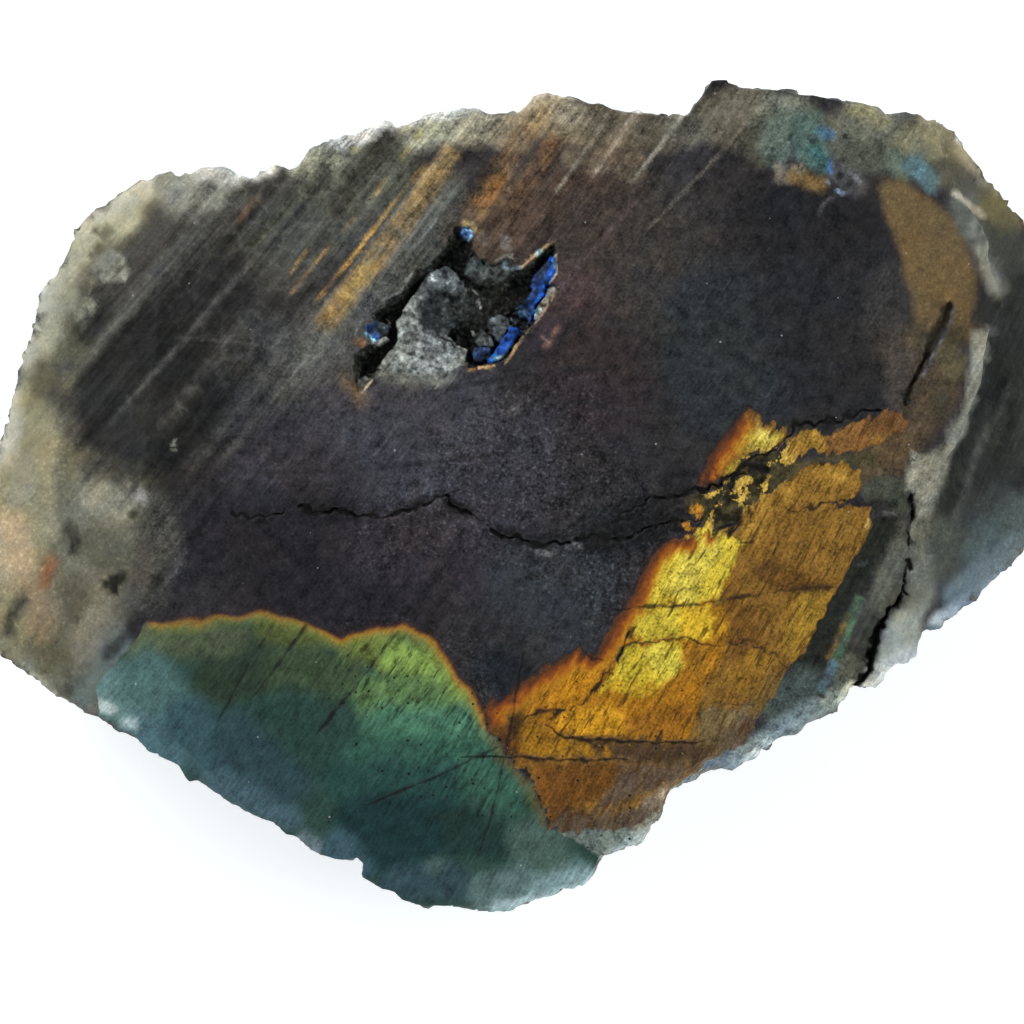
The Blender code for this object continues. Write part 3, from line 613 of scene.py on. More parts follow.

# The pit: channels painted dark with their shade round a lump of pale crystals, and blue cleavages
PIT_BASE_WITH_SHADE = "#252724"
PIT_GRAINS = "#5d615e"
PIT_FACETS: tuple[Facet, ...] = (
    Facet("#848985", (-12.2,18.8, -12.5,18, -13.1,17.5, -12.9,16.6, -12.9,15.6, -13.3,14.9, -14,14.2,
        -15,12.7, -14.4,12, -12.1,11.8, -10,11.5, -8.8,11.4, -7.6,12.4, -6.8,13, -6.2,13.4, -5.8,14.6,
        -6.6,15, -7.4,15.4, -7.8,16.2, -7.4,17.6, -6.6,19, -6,20.4, -6.4,21.6, -6.9,22.4, -7.6,22.9,
        -8.4,23, -9.4,22.5, -10,22, -10.5,21.2, -11,20.4, -11.6,19.8), 0.16, depth=0.45),
    Facet("#3a3f3e", (-10.6,19.4, -9.4,20.4, -8,20.8, -6.4,20.2, -5.4,18.8, -6,17.4, -7.4,16.3, -9,15.9,
        -10.2,16.6, -10.8,18), 0.6, depth=0.9),
    Facet("#9a9e97", (-11.6,12.9, -10.2,12, -8.2,11.8, -6.9,12.9, -7.4,13.9, -9.6,14.4,
        -11,14), 0.5, depth=0.3),
    Facet("#6f7578", (-10,20.9, -9.7,22, -8.7,22.6, -8.1,22, -8.5,21, -9.2,20.4), 0.4, depth=0.4),
    Facet("#454b4a", (-5.7,24.2, -5,23.9, -4.2,23.5, -3.4,22.9, -2.6,23.3, -2,23.7, -1.5,23.5, -1.2,22.8,
        -1.6,22.3, -2.1,21.6, -2.8,21.1, -3.6,21.5, -4.6,21.2, -5.4,21.5, -6.1,22.2,
        -5.9,23.2), 0.2, depth=0.35),
    Facet("#66727b", (-2.6,23.1, -2,23.6, -1.5,23.3, -1.7,22.6, -2.3,22.5), 0.25, depth=0.15),
    Facet("#4f585f", (-4,17.2, -3.4,17.9, -2.4,18.1, -1.5,17.5, -1.2,17, -1.9,16.5, -2.6,15.3, -3.1,15.3,
        -3.6,16.3), 0.14, depth=0.45),
    Facet("#585d5a", (-5.2,15.4, -4.2,16.7, -3.7,16.3, -3,15, -3.5,14.8, -4.8,14.9), 0.14, depth=0.6),
    Facet("#2d4166", (-5.4,14.7, -4.6,14.9, -3.4,14.8, -3.4,14.2, -3.9,13.5, -4.6,13.3, -5.3,13.2,
        -5.6,13.9), 0.2, depth=0.5),
    Facet("#2453ae", (-1.6,17, -0.9,16.8, -0.3,16.6, -0.9,15.7, -1.5,14.8, -2,14, -2.8,13.4, -3.8,13.1,
        -4,13.6, -3.3,14.2, -2.9,14.9, -2.4,15.7, -1.9,16.4), 0.14, depth=0.3),
    Facet("#28447c", (0.7,22, 1.7,23.1, 2.5,24, 2.8,23.4, 3,22.3, 2.6,21.6, 2.1,21, 1.9,19.9, 1.3,19.3,
        0.95,19, 0.8,18.4, 0.6,17.6, 0.3,17.2, -0.2,17.7, -0.9,18.3, -1,18.7, -0.4,19.3, 0.2,19.8,
        0.6,20.6, 0.4,21.4), 0.14, depth=0.35),
    Facet("#8d877c", (1.2,19.1, 1.9,19.9, 2.2,20.8, 2.8,20.9, 3.1,20.6, 2.5,19.5, 1.8,18.2, 1.1,17.4,
        0.8,17.8, 0.9,18.5), 0.12, depth=0.2),
    Facet("#353c42", (-15.4,17.3, -14.8,17.6, -13.9,17.3, -13.6,16.8, -13.8,16.2, -14.6,15.7, -15.4,15.7,
        -16.2,16.1, -15.9,16.7), 0.14, depth=0.25),
    Facet("#9c9e99", (-15.5,15.7, -14.6,15.8, -13.9,16, -13.7,15.5, -14.4,15.1,
        -15.3,15.2), 0.16, depth=0.12),
    Facet("#45669c", (-6.5,26.6, -5.9,26.8, -5.4,26.5, -5.3,26, -5.6,25.6, -6.3,25.7,
        -6.6,26.1), 0.12, depth=0.15),
    Facet("#585c56", (-16.9,11.7, -16.1,11.9, -15.5,11.7, -16.2,10.7, -16.8,10.3), 0.14, depth=0.2),
)
# The near-black dabs below are painted shade in the pit's deepest crevices
PIT_TONES: Touches = (
    Dab("#989d97", (-13.4,12.8, -9.4,12.6, -7.2,13.4), 0.5, 1.2, 0.6),
    Dab("#5a5f5d", (-10,21.4, -8.2,22.2, -7,21), 0.5, 0.9, 0.7),
    Dab("#2b2f2e", (-8.6,19.6, -6.8,18.6, -6.4,17), 0.5, 1, 0.8),
    Dab("#343938", (-5.8,19.6, -4.8,18), 0.3, 0.7, 0.7),
    Dab("#0e0f0e", (-7.2,16.1, -6,16.2, -6,15.3), 0.42, 0.25),
    Dab("#9a9f9b", (-6.2,20.7, -5.5,20.7), 0.1, 0.2, 1, 0.3),
    Dab("#8a8f8b", (-5.3,20.8, -4.8,20.2), 0.04, 0.1),
    Dab("#a2a7a3", (-4.8,19.6, -4.4,19.2, -4.6,18.8), 0.06, 0.12),
    Dab("#a2a7a3", (-5.4,16.5, -5.2,16.1), 0.07, 0.12), Dab("#a0a5a2", (-7.7,21.4, -8.2,21), 0.08, 0.15),
    Dab("#b5b9b5", (-9.5,22, -9,21.6), 0.08, 0.2),
    Dab("#9ba09d", (-12.5,17.4, -12.5,16, -11.9,15.2), 0.12, 0.3),
    Dab("#8b908e", (-12,18.7, -11.2,19.7), 0.12, 0.3),
    Dab("#1d1f1e", (-9.6,16.9, -8.2,15.6, -6.4,14.4), 0.05, 0.16, 1, 0.3),
    Dab("#1a1c1b", (-7.8,20.2, -7,18.4, -6.8,17), 0.14, 0.3),
    Dab("#202222", (-4,22.9, -3.4,22), 0.06, 0.16), Dab("#202222", (-2.8,21.9, -2.2,22.5), 0.06, 0.16),
    Dab("#222629", (-3.7,16.9, -3.1,15.6), 0.05, 0.12),
    Dab("#58a8b0", (-4.7,23.4, -4.3,23.3), 0.07, 0.12), Dab("#a9a271", (-4.5,23.15), 0.05, 0.08),
    Dab("#6e7a80", (-3.6,17.6, -2.6,17.9), 0.1, 0.3),
    # Light that the blue cleavages catch
    Dab("#2c62cc", (-1.3,16.5, -2,15.4, -2.5,14.7), 0.26, 0.3),
    Dab("#16346e", (-0.6,16.6, -1.2,15.4), 0.08, 0.2), Dab("#2f8cf2", (-3.2,14.2, -3.3,13.6), 0.26, 0.22),
    Dab("#bfe6f0", (-2.9,13.7, -2.4,13.9), 0.1, 0.2),
    Dab("#2355b8", (2.6,23.6, 2.7,22.5, 2.1,21.3, 1.8,20.3), 0.26, 0.3),
    Dab("#1f66e0", (2,20.9, 1.5,19.9, 0.9,19.1), 0.14, 0.2),
    Dab("#2350a6", (0.8,18.9, 0.5,17.7), 0.25, 0.25), Dab("#35506f", (-0.7,18.5, 0,17.9), 0.25, 0.3),
    Dab("#242f42", (1.2,22.3, 2,23), 0.3, 0.3), Dab("#5fb4ee", (2.7,23.6, 2.95,22.4), 0.04, 0.1),
    Dab("#8cc9e4", (1.2,18.8, 0.9,18.3), 0.14, 0.18), Dab("#e1e5dc", (1.3,18.9, 1.7,18.4), 0.06, 0.1),
    Dab("#3a352e", (1.6,19.2, 2,18.9), 0.07, 0.12), Dab("#c4bcae", (2.2,20.3, 2.7,20.6), 0.1, 0.16),
    Dab("#9aa3a8", (-1.5,17.9, -1.1,17.3), 0.06, 0.12),
    Dab("#34528a", (-15.6,16.9, -15.4,16.2, -14.9,16), 0.3, 0.35),
    Dab("#86bcd8", (-16.2,16.15, -15.5,15.75, -15.1,15.5), 0.06, 0.16),
    Dab("#82b4da", (-6,26.75, -5.5,26.4), 0.06, 0.14), Dab("#82b4da", (-5.5,25.9, -5.7,25.6), 0.06, 0.14),
)

# Fine marks on the sawn face round the pit
RIM_TONES: Touches = (
    Dab("#6e665e", (-4.6,25.9, -4.1,25.5), 0.3, 0.5, 0.8),
    Dab("#6d6865", (-2.2,25.6, -1.9,24.9), 0.3, 0.5, 0.9),
    Dab("#99875f", (-6.2,27.2, -5.4,27.1, -5,26.4), 0.1, 0.35),
    Dab("#7e8682", (-3,23.4, -2,24, -1.3,23.6), 0.04, 0.16),
    Dab("#8fa9b8", (-1.3,22.6, -0.5,22.8), 0.1, 0.14),
    Dab("#c9a678", (-0.4,22.8, 0.4,23.5, 1,24.1), 0.07, 0.14),
    Dab("#b79a70", (1.6,24.6, 2.3,25.1, 2.8,25.4), 0.06, 0.14),
    Dab("#c4e0e2", (1.1,24.1, 1.5,24.4), 0.12, 0.16),
    Dab("#b9b09c", (2.95,24, 3.15,22.3, 2.4,21.2), 0.03, 0.1),
    Dab("#c9a476", (-4.7,12.75, -3.2,12.95), 0.09, 0.14),
    Dab("#c79f6e", (-2,13.3, -1.4,14.2, -0.3,15.8), 0.08, 0.14),
    Dab("#b89a78", (0,16.2, 1,17.3, 2.1,18.8, 3.2,20.7), 0.03, 0.1),
    Dab("#a9783f", (-5.7,12.5, -5.2,12.6), 0.08, 0.2),
    Dab("#b7aa92", (-16.2,10.5, -15.4,11.5), 0.05, 0.14),
    Dab("#9a6c42", (-17.1,10.8, -16.9,10.3), 0.06, 0.2),
    Dab("#8e928c", (-16.8,10.1, -16.4,10.3), 0.05, 0.12),
    Dab("#7a5a40", (-17,15.3, -16.4,15.2), 0.15, 0.6, 0.8),
    Dab("#6e5c44", (-18,12, -17.4,10.4, -16.6,9.6), 0.3, 1, 0.7),
    Dab("#70544c", (1.4,14.3, 2.6,15.6, 3.6,17.2), 0.1, 0.5, 0.8, 0.2),
    Dab("#94766a", (1.6,15.9, 2.4,15.1, 2.9,16.6), 0.04, 0.16, 0.6),
    Dab("#5d4a47", (4.2,17.6, 5.6,20), 0.1, 0.5, 0.7, 0.2),
    Dab("#8b8d8a", (-9.1,10.6, -8.6,11.2), 0.05, 0.12),
    Dab("#6c6e68", (-14.4,11.9, -11.6,11.4, -8.6,11.4, -7.2,12.2), 0.25, 0.8, 0.9),
    Dab("#8a8d89", (-14.4,19.5, -13.2,20, -12.5,20.4, -11.4,22.1), 0.03, 0.14),
    Dab("#8a8d89", (-14.1,17.75, -13.6,17.3), 0.04, 0.1),
    Dab("#707470", (-17,16.4, -16.3,17.6), 0.05, 0.2),
)

# The colours inside the green flash
GREEN_BASE = "#2f463f"
GREEN_TONES: Touches = (
    Dab("#58624a", (-38.6,-14.6, -35.4,-14.4), 0.8, 2), Dab("#4c5641", (-34,-14.6, -29,-14.8), 1.2, 1.8),
    Dab("#2f3c30", (-31,-18.6, -27,-17.6, -26,-16), 1.6, 1.4),
    Dab("#566038", (-25.6,-13.2, -21.6,-14), 0.8, 1.8), Dab("#3d4d38", (-24,-17.6, -18.6,-18), 1.4, 2),
    Dab("#5f7d7b", (-42,-19.6, -39,-20.6), 1.8, 2.4), Dab("#4d6b69", (-38,-18.4, -36,-21), 1.6, 2.4),
    Dab("#4c6a72", (-38.6,-24.6, -35.4,-25.6), 1, 2.4), Dab("#395459", (-33.6,-23, -31,-26.4), 1.6, 2.4),
    Dab("#30454a", (-28.6,-25, -24.6,-28.6), 1.8, 2.6), Dab("#465d66", (-30.6,-29, -24,-32.2), 0.6, 1.8),
    Dab("#71828a", (-23.4,-34.2, -20.2,-35.8), 0.1, 1.9, 0.9, 0.2),
    Dab("#2b423c", (-24,-22, -20.6,-25), 1.4, 2.4), Dab("#66723c", (-17,-14.8, -14,-15.4), 0.9, 1.6),
    Dab("#78914a", (-12.6,-16.4, -9.6,-17.4, -7.6,-19.8), 1.2, 1.8),
    Dab("#5b784c", (-15,-20, -10,-20.6), 1.2, 2.2), Dab("#47715b", (-13.6,-23.4, -6,-23.6), 1.5, 2.2),
    Dab("#35594c", (-16,-26.4, -5,-26.6), 1.4, 2.2), Dab("#2a4842", (-18,-28.8, -8,-29.4), 1.2, 2.4),
    Dab("#1f3638", (-16,-32.6, -9,-33, -13,-35.4), 1.8, 2.2),
    Dab("#35574a", (-4.4,-28.8, -1.6,-30.2), 1.1, 2), Dab("#233834", (-6.4,-33.6, -3.6,-34.6), 1.2, 1.8),
    Dab("#3d5660", (-18.8,-35, -17,-37.4), 0.9, 1.6), Dab("#354a50", (-12.6,-38.6, -7.6,-38.6), 1.1, 1.6),
    Dab("#4a5e5c", (-10,-36.4, -8,-38.2), 0.1, 1.5, 0.8, 0.2),
    Dab("#4a6058", (0.4,-34.8, 2.4,-36), 1.4, 2), Dab("#596f6e", (-4.4,-39.8, -0.6,-38.6), 0.9, 1.6),
    Dab("#7c9799", (2,-39.6, 5.6,-38.4), 0.9, 1.8),
    # Pale blue-grey lines along the lower rim: painted light glowing through the thin edge
    Dab("#9db4b6", (-2.6,-41.4, 2.6,-40.8, 7.6,-38.2), 0.3, 1.2),
    Dab("#b3c2be", (-44,-20.8, -41.8,-21.3), 0.35, 0.9),
    Dab("#9fb4b6", (-40.4,-22.9, -39.2,-23.2), 0.15, 0.8),
    Dab("#23362f", (-6,-31.8, -9.6,-32.2), 0.2, 0.7, 0.6),
)

# The colours inside the gold flash
GOLD_BASE = "#7d5c28"
GOLD_TONES: Touches = (
    Patch("#9f6c1e", (-4.4,-21.6, -1,-19.4, 2.9,-16.8, 5,-15.2, 7.4,-15, 8.6,-12.8, 10,-10, 14,-3.6,
        18,-2, 20.6,-8.6, 18.4,-10.6, 20.8,-11.4, 20.2,-14.6, 18.6,-17.6, 17.4,-20, 16.8,-22.4, 16,-24.4,
        2.2,-24, 1.6,-22.8, 0,-22.4, -2,-22.6), 0.5),
    Patch("#b37a1e", (2.4,-20.6, 3.6,-18.4, 6,-16.8, 7.8,-16.2, 7.2,-18, 6,-20, 5,-20.9), 0.5),
    Patch("#b98522", (3.4,-23.6, 3,-22, 5,-21.2, 8.6,-20.8, 9.8,-22.4, 9.4,-24.2, 5,-24), 0.5),
    Patch("#8d5e1f", (9.8,-22.2, 12,-21.8, 16,-20.4, 16.8,-22, 15.6,-24, 10,-24.3), 0.7),
    Patch("#916621", (15.4,-15.2, 18.4,-15.2, 18.2,-17.4, 16,-18.6), 0.6),
    Dab("#bd9c48", (17.6,-2.4, 19.6,-0.6, 21.6,0.8, 24.6,3.2), 1.9, 0.6),
    Dab("#a8742a", (15.8,-3.3, 17,-1.7), 1, 0.6),
    Patch("#c9b33c", (18.2,-2.4, 18,-3.4, 18.6,-4, 20,-3.6, 20.6,-3.9, 21.2,-4.4, 21.7,-5.1, 21,-5.7,
        20.6,-6.6, 20.2,-8, 19.8,-9, 19.4,-10.3, 18.2,-10.6, 16.2,-11.2, 11.2,-11.3, 11.6,-10.4,
        12.2,-9.2, 13,-7.8, 13.8,-6.4, 14.6,-5.2, 15.6,-4.5, 16.6,-4, 17.4,-3.3), 0.22),
    Patch("#c0ac39", (10.9,-11.5, 15.7,-11.4, 15.5,-13, 15.1,-14.3, 10.7,-14.4, 10.6,-13), 0.22),
    Patch("#cba72f", (15.6,-11.3, 18.4,-11, 18.9,-12, 18.7,-13.4, 18.2,-14.6, 15,-14.2, 15.4,-13), 0.35),
    Patch("#ab7d22", (18.4,-11.2, 20.6,-11.2, 20.4,-13, 19.8,-14.6, 18.3,-14.8, 18.9,-13), 0.4),
    Patch("#bda733", (9.6,-15.6, 10.6,-15, 12,-14.9, 15.2,-14.6, 15.5,-15.8, 15.3,-17, 14.6,-18.2,
        13.6,-19, 12,-19.7, 9.6,-19.9, 7.5,-19.6, 8.2,-18.2, 9,-17), 0.3),
    Dab("#d3c250", (18,-5, 16.6,-7.2, 15.6,-9.6), 0.9, 1.2, 0.8),
    Dab("#b89c2e", (12.4,-10.4, 14.2,-10.8), 0.3, 0.8, 0.7),
    Dab("#cfc04a", (13,-16, 14.4,-17), 0.7, 1, 0.8),
    Dab("#b08a26", (8.6,-19.4, 12.8,-19.2), 0.3, 0.7, 0.8),
    Dab("#2c2a1c", (10.2,-14.3, 10.6,-13.4), 0.16, 0.2), Dab("#3c3a22", (9.5,-15.4, 9,-16.6), 0.16, 0.25),
    # The brown right half
    Patch("#8f6c2e", (25.6,1, 28.6,3, 31,3.1, 33.2,2, 33,0.4, 31,-0.6, 28,-0.7, 26.4,-1.6,
        24.6,-1.2), 0.6),
    Patch("#a07a34", (22.4,-1.2, 24.6,0.2, 24.6,-2, 23.4,-4.2, 21.8,-4.6, 21.6,-3.4), 0.5),
    Patch("#94742c", (27.2,-10, 30.6,-9.8, 29.4,-12.6, 28.2,-15, 26.8,-16.6, 25.8,-15.4, 26,-12.6), 0.7),
    Patch("#83622b", (31,-1.6, 34.4,-1.4, 34.2,-3.4, 32.6,-6, 31.4,-8.6, 29,-8.8, 28,-7, 29.6,-4), 0.8),
    Patch("#50381f", (22.6,-7.2, 24,-6.7, 26,-6.5, 26.4,-7.1, 25,-8, 23.2,-8.4), 0.5, 0.8),
    Patch("#664720", (24.6,-8.6, 27.4,-7.6, 30.6,-8.9, 27,-9.6, 24.4,-9.6), 0.5),
    Dab("#6a4a22", (20.8,-11.6, 22.4,-14.2, 21.4,-16), 0.7, 1.2, 0.8),
    Dab("#a98238", (30.9,1.9, 31.5,1.5), 0.3, 0.6), Dab("#b89c58", (34.3,-2.2, 34.1,-3.1), 0.08, 0.2),
    Dab("#8a6728", (21.4,-18, 23.4,-16.4), 0.7, 1.2),
    Patch("#6a5a3c", (17.4,-21, 19.6,-21.4, 23.4,-21, 22.6,-23.2, 21.4,-24.6, 18,-25.4, 16.8,-24.2), 0.5),
    Dab("#7f6e4a", (20.6,-22.6, 22,-22.2), 0.4, 0.7),
    # Below the long cracks
    Patch("#93691f", (-3.4,-23, -1,-22.4, 1.6,-23.2, 2.4,-24.4, 7,-25, 7,-26, 0,-26.2, -2.4,-26), 0.4),
    Patch("#4b3b2b", (6.8,-24.6, 10,-24.8, 18,-24.8, 19.4,-25.4, 17,-27.4, 12.6,-26.8, 9.2,-26.5,
        7,-26.2), 0.5),
    Patch("#9a6a20", (7.5,-25.2, 8.8,-25.4, 8.7,-26.1, 7.6,-26.2), 0.2),
    Patch("#67441f", (0.6,-26.8, 9,-27, 8.6,-29.6, 5,-31, 2.6,-31.4, 1.4,-29.6), 0.6),
    Patch("#5a4b3d", (9,-26.8, 16,-27, 15.4,-28.6, 12,-29.4, 10,-30.8, 6,-32, 8.8,-29), 0.6),
    Patch("#493422", (2.4,-31.2, 6,-31.2, 6.4,-33, 4.4,-33.8, 2.8,-32.8), 0.5),
    Patch("#7d705f", (12,-30, 13.6,-29.2, 15.2,-29, 13.4,-31.8, 11.6,-34.2, 10.2,-33.8, 11,-31.6), 0.5),
    Dab("#b8a488", (13,-30.6, 14,-29.9), 0.15, 0.4, 0.9, 0.2),
    Dab("#6b6455", (7.4,-34.2, 10.4,-34), 0.5, 0.8),
    Dab("#30221a", (-1.2,-19.6, -1.5,-22.6, -2.2,-25.4), 0.5, 1.4, 0.85),
    Patch("#5c4f40", (13,-31.6, 16.4,-28, 19,-25.6, 20.6,-23, 22.6,-20.6, 25.4,-20.6, 23.6,-25, 18,-30,
        14,-33), 0.9),
    Patch("#6a552f", (22.4,-21.4, 24,-18.6, 26.2,-17, 26.4,-19.6, 24.4,-22.4), 0.8),
    Dab("#54493d", (3.4,-33.6, 7.6,-33.2, 11.4,-32.6), 0.9, 1, 0.9),
    # The parts above the chipped seam
    Patch("#6f4723", (16.6,0.2, 17.4,1.8, 18.6,4, 19.9,6.4, 21.6,8.6, 22.2,8, 21.3,6.8, 20.7,5.4,
        20.2,4.2, 19.6,3.4, 18.2,1.2, 17.6,0.4), 0.3),
    Patch("#b5a03f", (22.1,7.8, 23.2,7.8, 24.2,7.3, 25,6.9, 26.4,6.9, 26,6.2, 25.2,5.3, 23.6,4.6,
        21.6,4.2, 20.5,4.3, 20.9,5.6, 21.5,6.8), 0.25),
    Patch("#a99436", (19.9,3.9, 21.6,3.9, 21,3, 20.4,2.2, 19.5,1.2, 18.4,0.9, 19,2.1, 19.5,3), 0.2),
    Dab("#2b2418", (19.7,3.9, 18.8,2.2, 18.1,0.9), 0.07, 0.16),
    Dab("#cfbc5e", (23.2,6.8, 24.4,5.8), 0.3, 0.8, 0.8),
    Patch("#9c7834", (26.2,4, 26.2,5.6, 28.2,6.5, 30,5.9, 30,4.1), 0.3),
    Patch("#825c34", (30,4, 30,6, 32.2,6.9, 34.8,8.2, 34.6,4.4), 0.5),
    Dab("#67492e", (35.6,7.4, 37.8,7.6), 0.8, 1), Dab("#3d3020", (30,5.6, 30,4.5), 0.03, 0.14),
)
# Splinters of gold left in the chipped seam
SPLINTERS: tuple[Path, ...] = (
    (20.2,0.2, 21.2,1.3, 22,2.4, 22.4,1.5, 21.7,0.9, 22.2,0.1, 20.6,-0.1),
    (17.8,0.2, 19,0.6, 19.1,-0.1, 18,-0.3), (23.1,0.8, 24.1,1.6, 24.3,0.6, 23.7,0.1),
    (24.2,3.4, 25.3,3.9, 27.2,4.1, 26.8,3.5, 25.2,3.1),
    (20.2,-0.2, 21.4,-0.4, 22.4,-0.2, 21.4,-0.9, 20.4,-0.6),
    (22.4,-1.2, 21.7,-1.4, 21.4,-2.6, 21.5,-3.8, 22.3,-3.4, 22.4,-2.2),
    (18.3,-2, 18.9,-1.2, 19.2,-1.9, 18.6,-2.6), (17.2,-3, 18.1,-2.3, 18.2,-3.2, 17.4,-3.8),
    (18.6,-3.7, 20.2,-2.9, 20.6,-3.1, 19.6,-3.8), (19,-0.5, 19.6,-0.2, 19.5,-0.8),
)

# Olive grey that fills the chipped seam across the gold
SEAM: Path = (
    16,-0.4, 18.6,0.6, 20.4,2.4, 22,3.9, 24,4.6, 26,3.6, 29,3.7, 32.6,3.8, 35,4.6, 35,2.6, 33.6,3, 30,3.2,
    27,1.8, 25,0.6, 24,-0.8, 22.6,-2.2, 20.6,-3.8, 17.6,-3,
)

# The fringe of each flash: depth in it in millimetres, colour and strength, from the outside in
GREEN_FRINGE: Stops = (
    (-0.6, "#2c2024", 0), (-0.2, "#3c2a26", 0.6), (0, "#6a4426", 0.9), (0.2, "#94682a", 1),
    (0.45, "#9a8034", 0.85), (0.9, "#84863e", 0.45), (1.5, "#7a8a48", 0),
)
GOLD_FRINGE: Stops = (
    (-0.5, "#2b2124", 0), (0, "#3a2420", 0.8), (0.35, "#5c3420", 1), (0.75, "#84471c", 1),
    (1.15, "#a8641b", 0.95), (1.6, "#b87e22", 0.55), (2.1, "#c08a2a", 0),
)
# Where a zone has the red and orange fringe of its spectrum
FRINGE: Touches = (
    Dab("#b0b0b0", stretch(GREEN_FLASH, 5, 13), 1.2, 0.9),
    Dab("#ffffff", stretch(GREEN_FLASH, 12, 22), 1.6, 0.8),
    Dab("#404040", stretch(GREEN_FLASH, 21, 27), 1, 0.8),
    Dab("#ffffff", stretch(GOLD_FLASH, 7, 24), 2.2, 0.8),
    Dab("#ffffff", stretch(GOLD_ISLANDS[0], 0, 4), 1.6, 0.8),
    Dab("#c0c0c0", stretch(GOLD_ISLANDS[0], 4, 8), 0.5, 0.5),
)

# Where the lamellae show most, where a net of pale veins shows, and where the gold is chipped
STRIPED: Touches = (
    Dab("#ffffff", (-44,10, -30,22, -14,32, 2,37), 7, 8), Dab("#c0c0c0", (-36,2, -24,12), 5, 5),
    Dab("#606060", (-16,6, -8,0, -12,-9), 5, 6),
    Dab("#282828", (-36,34, -45,28, -49.6,18, -51,8, -50,-2), 2.6, 4),
    Dab("#b0b0b0", (8,36, 20,38), 3, 5), Dab("#a0a0a0", (48,16, 46,4), 3, 3),
    Dab("#c0c0c0", (36,-4, 31,-16), 1.6, 2),
)
VEINED: Touches = (
    Dab("#c0c0c0", (-38,12, -30,20, -22,28), 5, 7),
)
# Where the face is worn smooth, so that its grain hardly shows
WORN_SMOOTH: Touches = (
    Dab("#303030", (-38,32, -46,26, -50,14, -51,0, -48,-16), 5, 6),
    Dab("#404040", (-43,-2, -43,-12), 3, 3), Dab("#707070", (-40,8, -34,20, -28,26), 5, 8),
    Dab("#606060", (36,29, 41,25, 41,18), 2.6, 2),
    Dab("#404040", (44,34, 48,22, 47,6, 46,-6, 38,-14), 3, 5),
)
# Where the sawn face is pitted and rough; there its relief is painted as bright and dark specks, painted
# highlights and painted shade
ROUGH_WITH_PAINTED_RELIEF: Touches = (
    Dab("#ffffff", (4,0, 9,-4, 12,-10), 4, 4), Dab("#d0d0d0", (-5,3, 3,8), 2.5, 4),
    Dab("#c0c0c0", (2,-6, -4,-2, -14,-4), 2, 3), Dab("#b0b0b0", (4,-28, 12,-28), 3, 3),
    Dab("#e0e0e0", (-15,-16.6, -8,-19, -3,-27), 3, 4), Dab("#181818", (-40,-18, -30,-26, -14,-36), 3, 4),
    Dab("#202020", (-40,30, -50,20, -52,4), 2, 3), Dab("#202020", (46,32, 49,20), 2, 4),
    Dab("#202020", (38,-14, 44,-10), 2, 3),
)
CHIPPED: Touches = (
    Dab("#ffffff", (17,-1.6, 20.4,1, 24,3.2), 1.6, 2.4),
)

# How thickly the pinholes are scattered
PINHOLES: Touches = (
    Dab("#ffffff", (-14,-22, -4,-27, 8,-31), 5, 4), Dab("#ffffff", (6,-22, 18,-20, 14,-30), 3, 4, 0.8),
    Dab("#ffffff", (-18,30, -12,34), 2, 3, 0.6), Dab("#ffffff", (0,37, 12,35), 2, 3, 0.6),
)

